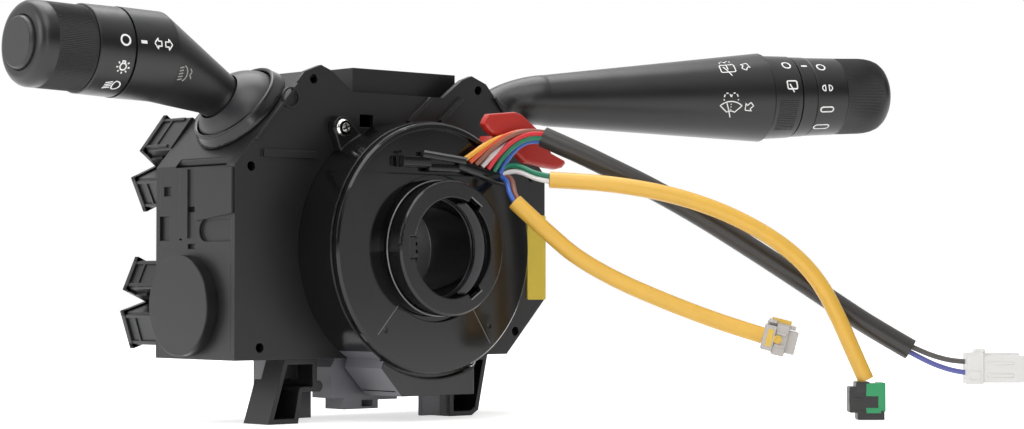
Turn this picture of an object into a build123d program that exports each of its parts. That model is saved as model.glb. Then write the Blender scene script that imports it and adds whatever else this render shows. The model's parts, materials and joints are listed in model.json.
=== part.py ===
from build123d import *
import os
from math import atan2, cos, degrees, pi, radians, sin, sqrt, tan

# Combination stalk switch for a steering column, in millimetres.
# The origin is on the column's axis, at the housing's rear face, which seats on the column bracket.
# X is to the driver's right, Y points forward along the column (so the driver is at -Y), Z is up.

os.makedirs("parts", exist_ok=True)

# Housing
half_width = 81.0
label_width = 10.4
housing_depth = 53.0
plate_thickness = 2.5
wall = 2.0
belly_drop = 43.5
shoulder_rise = 32.0
shoulder_angle = 48.0
crown_half_width = 47.5
crown_rise = 72.2
crown_inner = 34.2
saddle_half_width = 23.6
saddle_rise = 62.3
centre_half_width = 38.0
centre_rise = 61.0
hood_rise = 73.0
hood_left = -16.5
hood_right = 38.0
hood_setback = 44.0
corner_cut_rise = -20.5
corner_cut_inner = 59.2
rim_length = 30.0
rim_width = 1.2
plate_window = 27.5
touch_gap = 0.3

# Column bore and bracket screws
column_bore_radius = 22.0
column_boss_wall = 3.5
column_boss_length = 34.0
rear_web_thickness = 3.0
bracket_hole_radius = 2.7
bracket_hole_x = 31.0
bracket_hole_z = 31.0
bracket_pad_radius = 6.0
boss_rib_count = 6
boss_rib_thickness = 2.0

# Legs and harness sockets that the part stands on
leg_reach = 68.5
leg_depth = 16.0
leg_wall = 2.0
leg_step = 4.0
leg_step_height = 8.0
foot_socket_x = -28.5
foot_socket_y = -13.5
foot_socket_width = 18.0
foot_socket_depth = 17.0
plug_inset = 3.0

# Lever pivots, mirrored about the column
pivot_x = 57.8
pivot_y = -30.0
pivot_z = 50.7
neck_rise_angle = 30.5
pivot_depth = 5.0

# Throat collars and dome covers
dome_radius = 19.7
dome_wall = 1.5
dome_skirt = 3.0
dome_clearance = 0.9
dome_neck_gap = 0.8
collar_height = 5.2
collar_lip_radius = 17.9
collar_lip_outer = 19.5
collar_base_outer = 21.0
throat_hole_radius = 20.3

# Carriers, lever cores and detents
trunnion_radius = 1.95
running_clearance = 0.05
trunnion_span = 15.6
carrier_half_length = 7.0
carrier_half_width = 11.0
carrier_half_height = 8.0
carrier_window_width = 12.0
carrier_window_height = 10.0
core_width = 7.0
core_height = 8.0
core_inner_reach = 12.0
core_outer_reach = 20.0
pull_pin_radius = 1.5
plunger_radius = 2.1
plunger_tip_reach = 16.4
plunger_length = 8.4
plunger_stroke = 0.8
detent_radius = 16.8
spring_wire = 0.6
spring_turns = 3

# Stalk bodies
neck_start = 14.0
neck_radius = 9.3
neck_end = 20.0
neck_end_radius = 9.8
stalk_wall = 2.2
spigot_radius = 12.0
seam_gap = 0.4

# Lamp stalk, to the driver's left
lamp_axis_rise = 1.6
lamp_seam_x = -121.4
lamp_seam_z = 73.6
lamp_barrel_length = 18.5
lamp_body_radius = 17.4
lamp_band_length = 15.8
lamp_band_radius = 17.2
lamp_grip_length = 24.2
lamp_grip_radius = 16.3
lamp_spigot_length = 21.0
lamp_button_radius = 10.2
lamp_button_face_radius = 9.2
lamp_button_proud = 1.8
lamp_button_travel = 1.5

# Wiper stalk, to the driver's right
wiper_sweep_angle = 22.0
wiper_axis_rise = 2.24
wiper_base = (70.0, -30.0, 64.5)
wiper_cone_start = 18.6
wiper_cone_start_radius = 10.6
wiper_seam = 127.3
wiper_seam_radius = 19.8
rear_ring_length = 14.6
rear_ring_radius = 18.7
marker_ring_length = 7.2
marker_ring_radius = 18.0
wiper_band_length = 15.6
wiper_band_radius = 17.6
wiper_grip_length = 26.0
wiper_grip_radius = 17.2
wiper_spigot_length = 42.0
grip_rib_count = 48
grip_rib_radius = 0.45

# Harness shells behind the lamp case
socket_wall = 1.6
socket_floor = 3.0

# Blank cap on the left wall
cap_radius = 19.7
cap_proud = 5.0
cap_y = -22.0
cap_z = -22.6
cap_spigot_radius = 16.0
cap_clearance = 0.1

# Clock spring cassette
rotor_radius = 50.0
rotor_thickness = 3.0
rotor_setback = 77.0
stator_radius = 50.6
stator_wall = 1.8
rotor_gap = 0.35
hub_radius = 26.8
hub_proud = 10.0
hub_bore_radius = 20.0
hub_lip_depth = 3.2
hub_wall = 1.4
hub_floor = 1.4
hub_groove = 2.4
sleeve_radius = 25.0
sleeve_bore_radius = 19.5
sleeve_end_gap = 0.4
sleeve_fit = 0.4
notch_width = 11.4
lock_tongue_width = 8.0
lock_seat = 6.5
lock_tongue_seat = 9.8
lock_relief = 5.0
lock_angle = 52.0
ear_centres = [(-31.5, 47.5), (34.0, -45.0)]
ear_thickness = 4.0
ear_hole_radius = 1.7
screw_head_radius = 3.6
screw_shank_radius = 1.5
ribbon_end_gap = 7.2
ribbon_thickness = 0.5
ribbon_inner_radius = 29.0
ribbon_pitch = 3.6
ribbon_turns = 4

# Shroud under the cassette
shroud_left = -25.0
shroud_right = 20.5
shroud_bottom = -58.3
shroud_front = 76.0
shroud_clearance = 1.6

# Leads: sleeve and wire sizes, and routes chosen by hand
black_sleeve_diameter = 8.5
yellow_sleeve_diameter = 6.6
wire_diameter = 1.9
black_sleeve_route = [
    (49.2, -86.0, 45.9), (58.4, -96.4, 39.7), (66.9, -105.7, 33.5), (79.6, -118.4, 24.7),
    (94.1, -132.0, 13.4), (108.5, -145.5, 0.9), (122.5, -159.9, -12.3), (132.8, -171.1, -22.6),
    (141.8, -181.2, -31.6), (152.3, -192.7, -40.6)]
upper_yellow_sleeve_route = [
    (41.4, -98.4, 27.7), (49.5, -106.3, 27.1), (59.6, -116.0, 25.9), (71.6, -127.3, 23.3),
    (82.7, -137.7, 19.4), (93.8, -148.1, 13.7), (105.3, -158.7, 5.4), (114.1, -166.8, -3.7),
    (120.5, -172.8, -14.1), (125.5, -177.3, -26.9), (129.7, -181.1, -40.1), (133.8, -184.8, -52.5)]
lower_yellow_sleeve_route = [
    (29.8, -90.3, 18.8), (34.0, -95.7, 12.4), (38.5, -101.5, 5.7), (45.8, -109.5, -3.7),
    (56.2, -120.5, -12.3), (66.9, -131.8, -19.2), (77.2, -142.8, -25.2), (87.4, -153.8, -30.6),
    (96.2, -163.5, -34.6)]
black_lead_wires_route = [
    (22.3, -78.6, 33.6), (26.2, -80.2, 36.8), (30.7, -81.3, 39.2), (35.4, -82.4, 41.4),
    (40.2, -83.4, 43.4), (45.1, -84.7, 45.0), (49.8, -86.7, 45.5)]
upper_lead_wires_route = [
    (35.0, -77.8, 26.8), (35.2, -82.4, 27.9), (36.0, -88.0, 29.0), (38.0, -93.6, 29.3),
    (41.0, -98.0, 27.9), (43.2, -100.2, 27.6)]
lower_lead_wires_route = [
    (25.4, -77.8, 23.6), (25.8, -81.2, 23.8), (26.6, -85.4, 22.8), (28.2, -89.0, 20.4),
    (30.6, -91.6, 17.1)]
white_connector_wires_route = [
    (151.0, -191.3, -39.5), (155.4, -196.2, -42.9), (160.0, -201.1, -45.6), (164.6, -205.9, -47.3),
    (168.6, -209.5, -47.7)]
wire_row_pitch = 2.8
wire_bundle_pitch = 2.35


def save(part, name):
    """Labels one finished sub-part and writes it to its own file."""
    part.label = name
    export_step(part, f"parts/{name}.step")


def pivot_of(side):
    """The lever's pivot, to the left (side -1) or the right (side 1)."""
    return Vector(side * pivot_x, pivot_y, pivot_z)


def lever_plane(side):
    """Plane at a pivot: local x runs out along the neck, local z is the pull axis."""
    out = Vector(side * cos(radians(neck_rise_angle)), 0, sin(radians(neck_rise_angle)))
    upward = Vector(-side * sin(radians(neck_rise_angle)), 0, cos(radians(neck_rise_angle)))
    return Plane(origin=pivot_of(side), x_dir=out, z_dir=upward)


def shoulder_normal(side):
    """Outward direction of the sloped shoulder that carries a throat collar."""
    return Vector(side * sin(radians(shoulder_angle)), 0, cos(radians(shoulder_angle)))


def throat_plane(side):
    """Plane on the sloped shoulder, centred above the pivot, facing out."""
    centre = pivot_of(side) + shoulder_normal(side) * pivot_depth
    return Plane(origin=centre, x_dir=(0, 1, 0), z_dir=shoulder_normal(side))


def turned(plane, profile_points):
    """Solid of revolution about a plane's z axis from (radius, height) points."""
    with BuildPart() as body:
        with BuildSketch(Plane(origin=plane.origin, x_dir=plane.x_dir, z_dir=-plane.y_dir)):
            with BuildLine():
                Polyline(*profile_points, close=True)
            make_face()
        revolve(axis=Axis(plane.origin, plane.z_dir))
    return body.part


# The shoulder line passes through the side wall at shoulder_rise.
crown_foot_rise = shoulder_rise + (half_width - crown_half_width) * tan(radians(shoulder_angle))
lower_right_corner = [(corner_cut_inner, -belly_drop), (half_width, corner_cut_rise)]
plate_outline = [
    (-half_width, -belly_drop), (-half_width, shoulder_rise), (-crown_half_width, crown_foot_rise),
    (-crown_half_width + 8, crown_rise), (-crown_inner, crown_rise - 2), (-saddle_half_width, saddle_rise),
    (saddle_half_width, saddle_rise), (crown_inner, crown_rise - 2), (crown_half_width - 8, crown_rise),
    (crown_half_width, crown_foot_rise), (half_width, shoulder_rise), (half_width, corner_cut_rise),
    (corner_cut_inner, -belly_drop)]
plate_back = housing_depth - plate_thickness

# Leg outlines, seen from the front
left_leg_outline = [
    (-57.0, -belly_drop), (-65.0, -leg_reach), (-50.5, -leg_reach), (-48.2, -56.3), (-41.3, -56.3),
    (-41.3, -belly_drop)]
right_leg_outline = [
    (27.6, -belly_drop), (27.6, -leg_reach), (39.5, -leg_reach), (43.2, -66.2), (48.3, -belly_drop)]

# Main housing: front plate, centre box, column boss, hood, right leg and rear foot socket
with BuildPart() as main_housing:
    with BuildSketch(Plane.XZ.offset(housing_depth)):
        with BuildLine():
            Polyline(*plate_outline, close=True)
        make_face()
        Circle(plate_window, mode=Mode.SUBTRACT)
        with Locations((-16.5, 51.0)):
            Rectangle(7.0, 5.0, mode=Mode.SUBTRACT)
        with Locations((-43.1, 66.4), (43.1, 66.4), (-73.2, 31.2), (73.2, 31.2), (-69.0, -38.7), (64.0, -34.0)):
            Circle(1.9, mode=Mode.SUBTRACT)
    extrude(amount=-plate_thickness)
    # Centre box between the two switch bays, open to the front
    with BuildSketch(Plane.XZ.offset(plate_back)):
        with Locations((0, (centre_rise - belly_drop) / 2)):
            Rectangle(2 * centre_half_width, centre_rise + belly_drop)
            Rectangle(2 * (centre_half_width - wall), centre_rise + belly_drop - 2 * wall, mode=Mode.SUBTRACT)
    extrude(amount=-plate_back)
    # Rear web with the column boss and its ribs
    with BuildSketch(Plane.XZ.offset(rear_web_thickness)):
        with Locations((0, (centre_rise - belly_drop) / 2)):
            Rectangle(2 * centre_half_width - wall, centre_rise + belly_drop - wall)
        Circle(column_bore_radius, mode=Mode.SUBTRACT)
    extrude(amount=-rear_web_thickness)
    with BuildSketch(Plane.XZ.offset(column_boss_length)):
        Circle(column_bore_radius + column_boss_wall)
        Circle(column_bore_radius, mode=Mode.SUBTRACT)
    extrude(amount=-column_boss_length)
    with BuildSketch(Plane.XZ.offset(column_boss_length - 6)):
        with PolarLocations(column_bore_radius + 9, boss_rib_count):
            Rectangle(14, boss_rib_thickness)
    extrude(amount=-(column_boss_length - 6 - rear_web_thickness / 2))
    with BuildSketch(Plane.XZ.offset(0)):
        with GridLocations(2 * bracket_hole_x, 2 * bracket_hole_z, 2, 2):
            Circle(bracket_pad_radius)
    extrude(amount=12.0)
    # Hood over the column, set back behind the front plate's saddle
    with BuildSketch(Plane.XZ.offset(hood_setback)):
        with Locations(((hood_left + hood_right) / 2, (hood_rise + centre_rise) / 2 - 1)):
            Rectangle(hood_right - hood_left, hood_rise - centre_rise + 2)
    extrude(amount=-hood_setback)
    with BuildSketch(Plane.XZ.offset(hood_setback - wall)):
        with Locations(((hood_left + hood_right) / 2, (hood_rise + centre_rise) / 2 - 1)):
            Rectangle(hood_right - hood_left - 2 * wall, hood_rise - centre_rise - 2)
    extrude(amount=-(hood_setback - wall), mode=Mode.SUBTRACT)
    # Raised bar, slanted ribs and screw mark on the front plate
    with BuildSketch(Plane.XZ.offset(housing_depth)):
        with Locations((-55.3, 36.4)):
            Rectangle(25.5, 3.0)
        with Locations((10.6, 56.6), (27.8, 57.6)):
            Rectangle(1.4, 15.5, rotation=-49)
        with Locations((-55.0, 58.4)):
            Circle(4.2)
            Circle(3.5, mode=Mode.SUBTRACT)
        for side in (-1, 1):
            with Locations(Location((side * 62.0, crown_foot_rise - (62.0 - crown_half_width)
                                     * tan(radians(shoulder_angle))), -side * shoulder_angle)):
                with Locations((0, -rim_width / 2)):
                    Rectangle(rim_length, rim_width)
    extrude(amount=1.3)
    # Screw holes for the column bracket, through pads and web
    with BuildSketch(Plane.XZ.offset(12.0)):
        with GridLocations(2 * bracket_hole_x, 2 * bracket_hole_z, 2, 2):
            Circle(bracket_hole_radius)
    extrude(amount=-12.0, mode=Mode.SUBTRACT)
    # Holes for the cassette's screws
    with BuildSketch(Plane.XZ.offset(housing_depth)):
        with Locations(*ear_centres):
            Circle(ear_hole_radius)
    extrude(amount=-plate_thickness - 1.5, mode=Mode.SUBTRACT)
save(main_housing.part, "main_housing")

# Right leg, an open shroud under the belly
with BuildPart() as right_leg:
    with BuildSketch(Plane.XZ.offset(housing_depth)):
        with BuildLine():
            Polyline(*right_leg_outline, close=True)
        make_face()
    extrude(amount=-leg_depth)
    with BuildSketch(Plane.XZ.offset(housing_depth)):
        with BuildLine():
            Polyline(*right_leg_outline, close=True)
        make_face()
        offset(amount=-leg_wall, mode=Mode.REPLACE)
    extrude(amount=-(leg_depth - leg_wall), mode=Mode.SUBTRACT)
    with BuildSketch(Plane.XZ.offset(housing_depth)):
        with Locations(ear_centres[1]):
            Circle(ear_hole_radius)
    extrude(amount=-plate_thickness - 1.5, mode=Mode.SUBTRACT)
save(right_leg.part, "right_leg")

# Rear foot socket, a rectangular harness shroud open to the bottom
with BuildPart() as rear_foot_socket:
    with BuildSketch(Plane.XY.offset(-leg_reach)):
        with Locations((foot_socket_x, foot_socket_y)):
            RectangleRounded(foot_socket_width, foot_socket_depth, 1.5)
    extrude(amount=leg_reach - belly_drop)
    with BuildSketch(Plane.XY.offset(-leg_reach)):
        with Locations((foot_socket_x, foot_socket_y)):
            Rectangle(foot_socket_width - 2 * leg_wall, foot_socket_depth - 2 * leg_wall)
    extrude(amount=leg_reach - belly_drop - 3, mode=Mode.SUBTRACT)
save(rear_foot_socket.part, "rear_foot_socket")

# Switch cases: one each side, open front and back, with the throat hole in the shoulder
bay_inner = centre_half_width + wall
lamp_case_outline = [
    (-half_width, -belly_drop), (-half_width, shoulder_rise), (-crown_half_width, crown_foot_rise),
    (-centre_half_width, crown_foot_rise), (-centre_half_width, -belly_drop)]
wiper_case_outline = [
    (half_width, corner_cut_rise), (half_width, shoulder_rise), (crown_half_width, crown_foot_rise),
    (centre_half_width, crown_foot_rise), (centre_half_width, -belly_drop), (corner_cut_inner, -belly_drop)]
board_thickness = 2.5
for side, name, outline in ((-1, "lamp", lamp_case_outline), (1, "wiper", wiper_case_outline)):
    with BuildPart() as switch_case:
        with BuildSketch(Plane.XZ.offset(plate_back)):
            with BuildLine():
                Polyline(*outline, close=True)
            make_face()
        extrude(amount=-(plate_back - board_thickness))
        with BuildSketch(Plane.XZ.offset(plate_back)):
            with BuildLine():
                Polyline(*outline, close=True)
            make_face()
            offset(amount=-wall, mode=Mode.REPLACE)
        extrude(amount=-(plate_back - board_thickness), mode=Mode.SUBTRACT)
        with BuildSketch(throat_plane(side).offset(-6)):
            Circle(throat_hole_radius)
        extrude(amount=12, mode=Mode.SUBTRACT)
        if side < 0:
            # Left wall: raised block, pocket, screw channel, latch slots and cap hole
            with BuildSketch(Plane.YZ.offset(-half_width)):
                with BuildLine():
                    Polyline((-52.5, 13.0), (-52.5, 30.6), (-28.2, 31.2), (-28.2, 10.4), close=True)
                make_face()
            extrude(amount=-1.2)
            with BuildSketch(Plane.YZ.offset(-half_width)):
                with Locations((-19.8, 17.2)):
                    Rectangle(5.6, 27.0)
            extrude(amount=-0.8)
            with BuildSketch(Plane.YZ.offset(-half_width)):
                with Locations((-30.5, 33.2)):
                    Rectangle(34.0, 3.4)
            extrude(amount=wall + 1, mode=Mode.SUBTRACT)
            with BuildSketch(Plane.YZ.offset(-half_width)):
                with Locations((-41.5, 6.6)):
                    SlotOverall(24.0, 8.6)
                with Locations((-5.8, 7.8)):
                    Rectangle(7.0, 9.6)
                with Locations((-16.9, 7.8)):
                    Rectangle(1.6, 9.6)
                with Locations((-8.0, 22.4)):
                    Rectangle(5.2, 3.8)
                with Locations((-24.4, 15.0), (-24.4, 0.5)):
                    Rectangle(5.0, 2.0)
            extrude(amount=1.2, mode=Mode.SUBTRACT)
            with BuildSketch(Plane.YZ.offset(-half_width - 2)):
                with Locations((cap_y, cap_z)):
                    Circle(cap_spigot_radius + cap_clearance)
            extrude(amount=wall + 3, mode=Mode.SUBTRACT)
            # Screw tube that shows in the channel
            with BuildSketch(Plane.XZ.offset(plate_back)):
                with Locations((-76.6, 33.2)):
                    Circle(2.3)
                    Circle(1.2, mode=Mode.SUBTRACT)
            extrude(amount=-38)
            # Left leg, an open shroud, shallower at its top, with a small round ear
            with BuildSketch(Plane.XZ.offset(housing_depth)):
                with BuildLine():
                    Polyline(*left_leg_outline, close=True)
                make_face()
            extrude(amount=-leg_depth)
            with BuildSketch(Plane.XZ.offset(housing_depth)):
                with BuildLine():
                    Polyline(*left_leg_outline, close=True)
                make_face()
                offset(amount=-leg_wall, mode=Mode.REPLACE)
            extrude(amount=-(leg_depth - leg_wall), mode=Mode.SUBTRACT)
            with BuildSketch(Plane.YZ.offset(-half_width)):
                with Locations((leg_depth - housing_depth - leg_step / 2, -belly_drop - leg_step_height / 2)):
                    Rectangle(leg_step, leg_step_height)
            extrude(amount=half_width - centre_half_width, mode=Mode.SUBTRACT)
            with BuildSketch(Plane.XZ.offset(housing_depth - leg_depth + leg_step + leg_wall)):
                with BuildLine():
                    Polyline(*left_leg_outline, close=True)
                make_face()
                with Locations((-60.0, -belly_drop - leg_step_height - 15.0)):
                    Rectangle(60.0, 30.0, mode=Mode.SUBTRACT)
            extrude(amount=-leg_wall)
            with BuildSketch(Plane.XZ.offset(housing_depth)):
                with Locations((-40.6, -54.2)):
                    Circle(2.2)
            extrude(amount=-3)
        else:
            with BuildSketch(Plane.YZ.offset(half_width)):
                with Locations((-38.0, 8.0), (-14.0, 8.0)):
                    RectangleRounded(18.0, 26.0, 1.5)
            extrude(amount=-0.8, mode=Mode.SUBTRACT)
    save(switch_case.part, f"{name}_switch_case")

    with BuildPart() as contact_board:
        with BuildSketch(Plane.XZ.offset(board_thickness)):
            with BuildLine():
                Polyline(*outline, close=True)
            make_face()
        extrude(amount=-board_thickness)
        if side > 0:
            with BuildSketch(Plane.XZ):
                with Locations((59.0, 22.0)):
                    Rectangle(34.0, 3.0)
                with Locations((59.0, -2.0), (59.0, -26.0)):
                    Rectangle(30.0, 2.0)
                with Locations((48.0, -8.0), (68.0, 2.0)):
                    Rectangle(2.0, 44.0)
            extrude(amount=-1.5)
    save(contact_board.part, f"{name}_contact_board")

    # Collar round the throat, with a spherical seat for the dome and a rolled lip
    seat_radius = dome_radius + dome_clearance
    seat_base = sqrt(seat_radius ** 2 - pivot_depth ** 2)
    with BuildPart() as collar:
        with BuildSketch(Plane(origin=throat_plane(side).origin, x_dir=(0, 1, 0),
                               z_dir=-throat_plane(side).y_dir)):
            with BuildLine():
                Line((seat_base, 0), (collar_base_outer, 0))
                Line((collar_base_outer, 0), (collar_base_outer, 1.0))
                Line((collar_base_outer, 1.0), (collar_lip_outer, collar_height - 1.0))
                ThreePointArc((collar_lip_outer, collar_height - 1.0),
                              ((collar_lip_outer + collar_lip_radius) / 2, collar_height),
                              (collar_lip_radius, collar_height - 0.9))
                Line((collar_lip_radius, collar_height - 0.9), (seat_base, 0))
            make_face()
        revolve(axis=Axis(throat_plane(side).origin, throat_plane(side).z_dir))
    save(collar.part, f"{name}_throat_collar")

    # Yoke inside the bay: two ears for the carrier and a hollow detent track
    lever = lever_plane(side)
    with BuildPart() as yoke:
        with BuildSketch(lever.offset(-9.0)):
            with Locations((-18.0, 0)):
                Rectangle(14.0, 2 * trunnion_span)
        extrude(amount=18.0)
        with BuildSketch(Plane(origin=lever.origin, x_dir=lever.x_dir, z_dir=-lever.y_dir)):
            Circle(detent_radius)
        extrude(amount=trunnion_span - 3.0, both=True, mode=Mode.SUBTRACT)
        with BuildSketch(lever.offset(-4.0)):
            with Locations((-6.0, trunnion_span - 1.5), (-6.0, 1.5 - trunnion_span)):
                Rectangle(18.4, 3.0)
        extrude(amount=8.0)
        with BuildSketch(Plane(origin=lever.origin, x_dir=lever.x_dir, z_dir=-lever.y_dir)):
            Circle(trunnion_radius + running_clearance)
        extrude(amount=trunnion_span + 1, both=True, mode=Mode.SUBTRACT)
        with Locations((side * (bay_inner - 20), pivot_y, pivot_z)):
            Box(40, 60, 80, mode=Mode.SUBTRACT)
    save(yoke.part, f"{name}_yoke")

    # Carrier: a window frame on two trunnions, which tilts up and down with the lever
    with BuildPart() as carrier:
        with BuildSketch(lever.offset(-carrier_half_height)):
            Rectangle(2 * carrier_half_length, 2 * carrier_half_width)
        extrude(amount=2 * carrier_half_height)
        with BuildSketch(Plane(origin=lever.origin - lever.x_dir * 10, x_dir=lever.y_dir, z_dir=lever.x_dir)):
            Rectangle(carrier_window_width, carrier_window_height)
        extrude(amount=20, mode=Mode.SUBTRACT)
        with BuildSketch(lever.offset(-carrier_half_height)):
            Circle(pull_pin_radius + running_clearance)
        extrude(amount=2 * carrier_half_height, mode=Mode.SUBTRACT)
        for hand in (-1, 1):
            with BuildSketch(Plane(origin=lever.origin + lever.y_dir * hand * (carrier_half_width - 0.5),
                                   x_dir=lever.x_dir, z_dir=lever.y_dir * hand)):
                Circle(trunnion_radius)
            extrude(amount=trunnion_span - carrier_half_width + 0.5)
    save(carrier.part, f"{name}_carrier")

    with BuildPart() as pull_pin:
        with BuildSketch(lever.offset(-carrier_half_height)):
            Circle(pull_pin_radius)
        extrude(amount=2 * carrier_half_height)
    save(pull_pin.part, f"{name}_pull_pin")

    # Lever core: a bar through the carrier's window, bored for the sprung plunger
    with BuildPart() as lever_core:
        with BuildSketch(lever.offset(-core_height / 2)):
            with Locations(((core_outer_reach - core_inner_reach) / 2, 0)):
                Rectangle(core_outer_reach + core_inner_reach, core_width)
        extrude(amount=core_height)
        with BuildSketch(lever.offset(-core_height)):
            Circle(pull_pin_radius + 0.02)
        extrude(amount=2 * core_height, mode=Mode.SUBTRACT)
        with BuildSketch(Plane(origin=lever.origin - lever.x_dir * core_inner_reach,
                               x_dir=lever.y_dir, z_dir=lever.x_dir)):
            Circle(plunger_radius + running_clearance)
        extrude(amount=8.5, mode=Mode.SUBTRACT)
    save(lever_core.part, f"{name}_lever_core")

    with BuildPart() as plunger:
        with BuildSketch(Plane(origin=lever.origin - lever.x_dir * plunger_tip_reach,
                               x_dir=lever.y_dir, z_dir=lever.x_dir)):
            Circle(plunger_radius)
        extrude(amount=plunger_length)
        fillet(plunger.edges().filter_by(GeomType.CIRCLE).sort_by(Axis(lever.origin, lever.x_dir))[0], 1.6)
    save(plunger.part, f"{name}_plunger")

    # Plunger spring, shown at the length that it has at the bottom of the stroke
    spring_length = plunger_tip_reach - plunger_length - (core_inner_reach - 8.5) - plunger_stroke - 0.1
    with BuildPart() as spring:
        with BuildLine() as coil:
            Helix(pitch=(spring_length - spring_wire) / spring_turns, height=spring_length - spring_wire,
                  radius=plunger_radius - spring_wire / 2 - 0.1,
                  center=lever.origin - lever.x_dir * (core_inner_reach - 8.5 + spring_length - spring_wire / 2),
                  direction=lever.x_dir)
        with BuildSketch(Plane(origin=coil.line @ 0, z_dir=coil.line % 0)):
            RegularPolygon(spring_wire / 2, 6)
        sweep(path=coil.line)
    save(spring.part, f"{name}_plunger_spring")

    # Dome: a spherical cover about the pivot, open where the neck comes through
    with BuildPart() as dome:
        with BuildSketch(Plane(origin=lever.origin, x_dir=lever.x_dir, z_dir=-lever.y_dir)):
            Circle(dome_radius)
            Circle(dome_radius - dome_wall, mode=Mode.SUBTRACT)
            with Locations((0, -dome_radius)):
                Rectangle(4 * dome_radius, 2 * dome_radius, mode=Mode.SUBTRACT)
            with Locations((-dome_radius - dome_skirt, 0)):
                Rectangle(2 * dome_radius, 4 * dome_radius, mode=Mode.SUBTRACT)
            with Locations((dome_radius, 0)):
                Rectangle(2 * dome_radius, 2 * (neck_radius + dome_neck_gap), mode=Mode.SUBTRACT)
        revolve(axis=Axis(lever.origin, lever.x_dir))
    save(dome.part, f"{name}_dome")

# Blank cap on the left wall: a stepped disc with a spigot in the wall's hole
save(turned(Plane(origin=(-half_width, cap_y, cap_z), x_dir=(0, 1, 0), z_dir=(-1, 0, 0)), [
    (0, -wall), (cap_spigot_radius, -wall), (cap_spigot_radius, 0), (cap_radius, 0),
    (cap_radius, cap_proud - 0.3), (cap_radius - 0.3, cap_proud), (0, cap_proud)]), "blank_cap")


def tube_loft(spans, shrink):
    """Lofts through spans of (origin, direction, radius) stations, each radius less by shrink."""
    with BuildPart() as body:
        for stations in spans:
            for origin, direction, radius in stations:
                with BuildSketch(Plane(origin=origin, x_dir=(0, 0, 1), z_dir=direction)):
                    Circle(radius - shrink)
            loft()
    return body.part


def level_direction(rise, x, y=0.0):
    """Unit direction with a rise in degrees above the horizontal heading (x, y)."""
    return Vector(x * cos(radians(rise)), y * cos(radians(rise)), sin(radians(rise)))


def stalk_shell(side, spans, spigot_length):
    """Stalk body: a lofted shell whose neck is solid round the core, with a spigot at its end."""
    lever = lever_plane(side)
    end_origin, end_direction, end_radius = spans[-1][-1]
    end_plane = Plane(origin=end_origin, x_dir=Vector(0, 1, 0).cross(end_direction), z_dir=end_direction)
    outer = tube_loft(spans, 0)
    hollow_spans = [spans[0][1:]] + spans[1:] if len(spans[0]) > 2 else spans[1:]
    inner = tube_loft(hollow_spans, stalk_wall)
    with BuildPart() as body:
        add(outer)
        add(inner, mode=Mode.SUBTRACT)
        with BuildSketch(end_plane.offset(-stalk_wall)):
            Circle(end_radius - stalk_wall / 2)
        extrude(amount=stalk_wall)
        with BuildSketch(end_plane):
            Circle(spigot_radius)
        extrude(amount=spigot_length)
        with BuildSketch(end_plane.offset(-stalk_wall)):
            Circle(spigot_radius - stalk_wall)
        extrude(amount=spigot_length + stalk_wall, mode=Mode.SUBTRACT)
        with BuildSketch(Plane(origin=lever.origin + lever.x_dir * neck_start,
                               x_dir=lever.y_dir, z_dir=lever.x_dir)):
            Rectangle(core_width + 0.1, core_height + 0.1)
        extrude(amount=neck_end - neck_start + 0.5, mode=Mode.SUBTRACT)
    return body.part, end_plane


# Lamp stalk body: a short neck, a straight cone and the fixed barrel
left_lever = lever_plane(-1)
lamp_direction = level_direction(lamp_axis_rise, -1)
lamp_seam_point = Vector(lamp_seam_x, pivot_y, lamp_seam_z)
lamp_neck = (left_lever.origin + left_lever.x_dir * neck_end, left_lever.x_dir, neck_end_radius)
lamp_crease = (lamp_seam_point - lamp_direction * lamp_barrel_length, lamp_direction, lamp_body_radius)
lamp_spans = [
    [(left_lever.origin + left_lever.x_dir * neck_start, left_lever.x_dir, neck_radius), lamp_neck],
    [lamp_neck, lamp_crease],
    [lamp_crease, (lamp_seam_point, lamp_direction, lamp_body_radius)]]
lamp_stalk, lamp_end = stalk_shell(-1, lamp_spans, lamp_spigot_length)
save(lamp_stalk, "lamp_stalk_body")

# Lamp band: the printed ring that turns with the grip
lamp_bore = spigot_radius + running_clearance
save(turned(lamp_end, [
    (lamp_bore, seam_gap), (lamp_body_radius - 0.5, seam_gap), (lamp_band_radius, seam_gap + 0.5),
    (lamp_band_radius - 0.2, lamp_band_length - 0.4), (lamp_band_radius - 0.6, lamp_band_length),
    (lamp_bore, lamp_band_length)]), "lamp_band")

# Lamp grip: a ribbed cup with a rounded end and a hole for the button
lamp_grip_start = lamp_end.offset(lamp_band_length)
with BuildPart() as lamp_grip:
    with BuildSketch(Plane(origin=lamp_grip_start.origin, x_dir=lamp_grip_start.x_dir,
                           z_dir=-lamp_grip_start.y_dir)):
        with BuildLine():
            Polyline((lamp_bore, 0), (lamp_grip_radius, 0), (lamp_grip_radius, lamp_grip_length - 4.2))
            ThreePointArc((lamp_grip_radius, lamp_grip_length - 4.2),
                          (lamp_grip_radius - 1.2, lamp_grip_length - 1.3),
                          (lamp_grip_radius - 3.9, lamp_grip_length))
            Polyline((lamp_grip_radius - 3.9, lamp_grip_length),
                     (lamp_button_radius + running_clearance, lamp_grip_length),
                     (lamp_button_radius + running_clearance, lamp_grip_length - 2.5),
                     (lamp_bore, lamp_grip_length - 2.5), (lamp_bore, 0))
        make_face()
    revolve(axis=Axis(lamp_grip_start.origin, lamp_grip_start.z_dir))
    with BuildSketch(lamp_grip_start.offset(1.5)):
        with PolarLocations(lamp_grip_radius + grip_rib_radius / 2, grip_rib_count):
            RegularPolygon(grip_rib_radius, 4)
    extrude(amount=lamp_grip_length - 7.5, mode=Mode.SUBTRACT)
save(lamp_grip.part, "lamp_grip")

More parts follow.
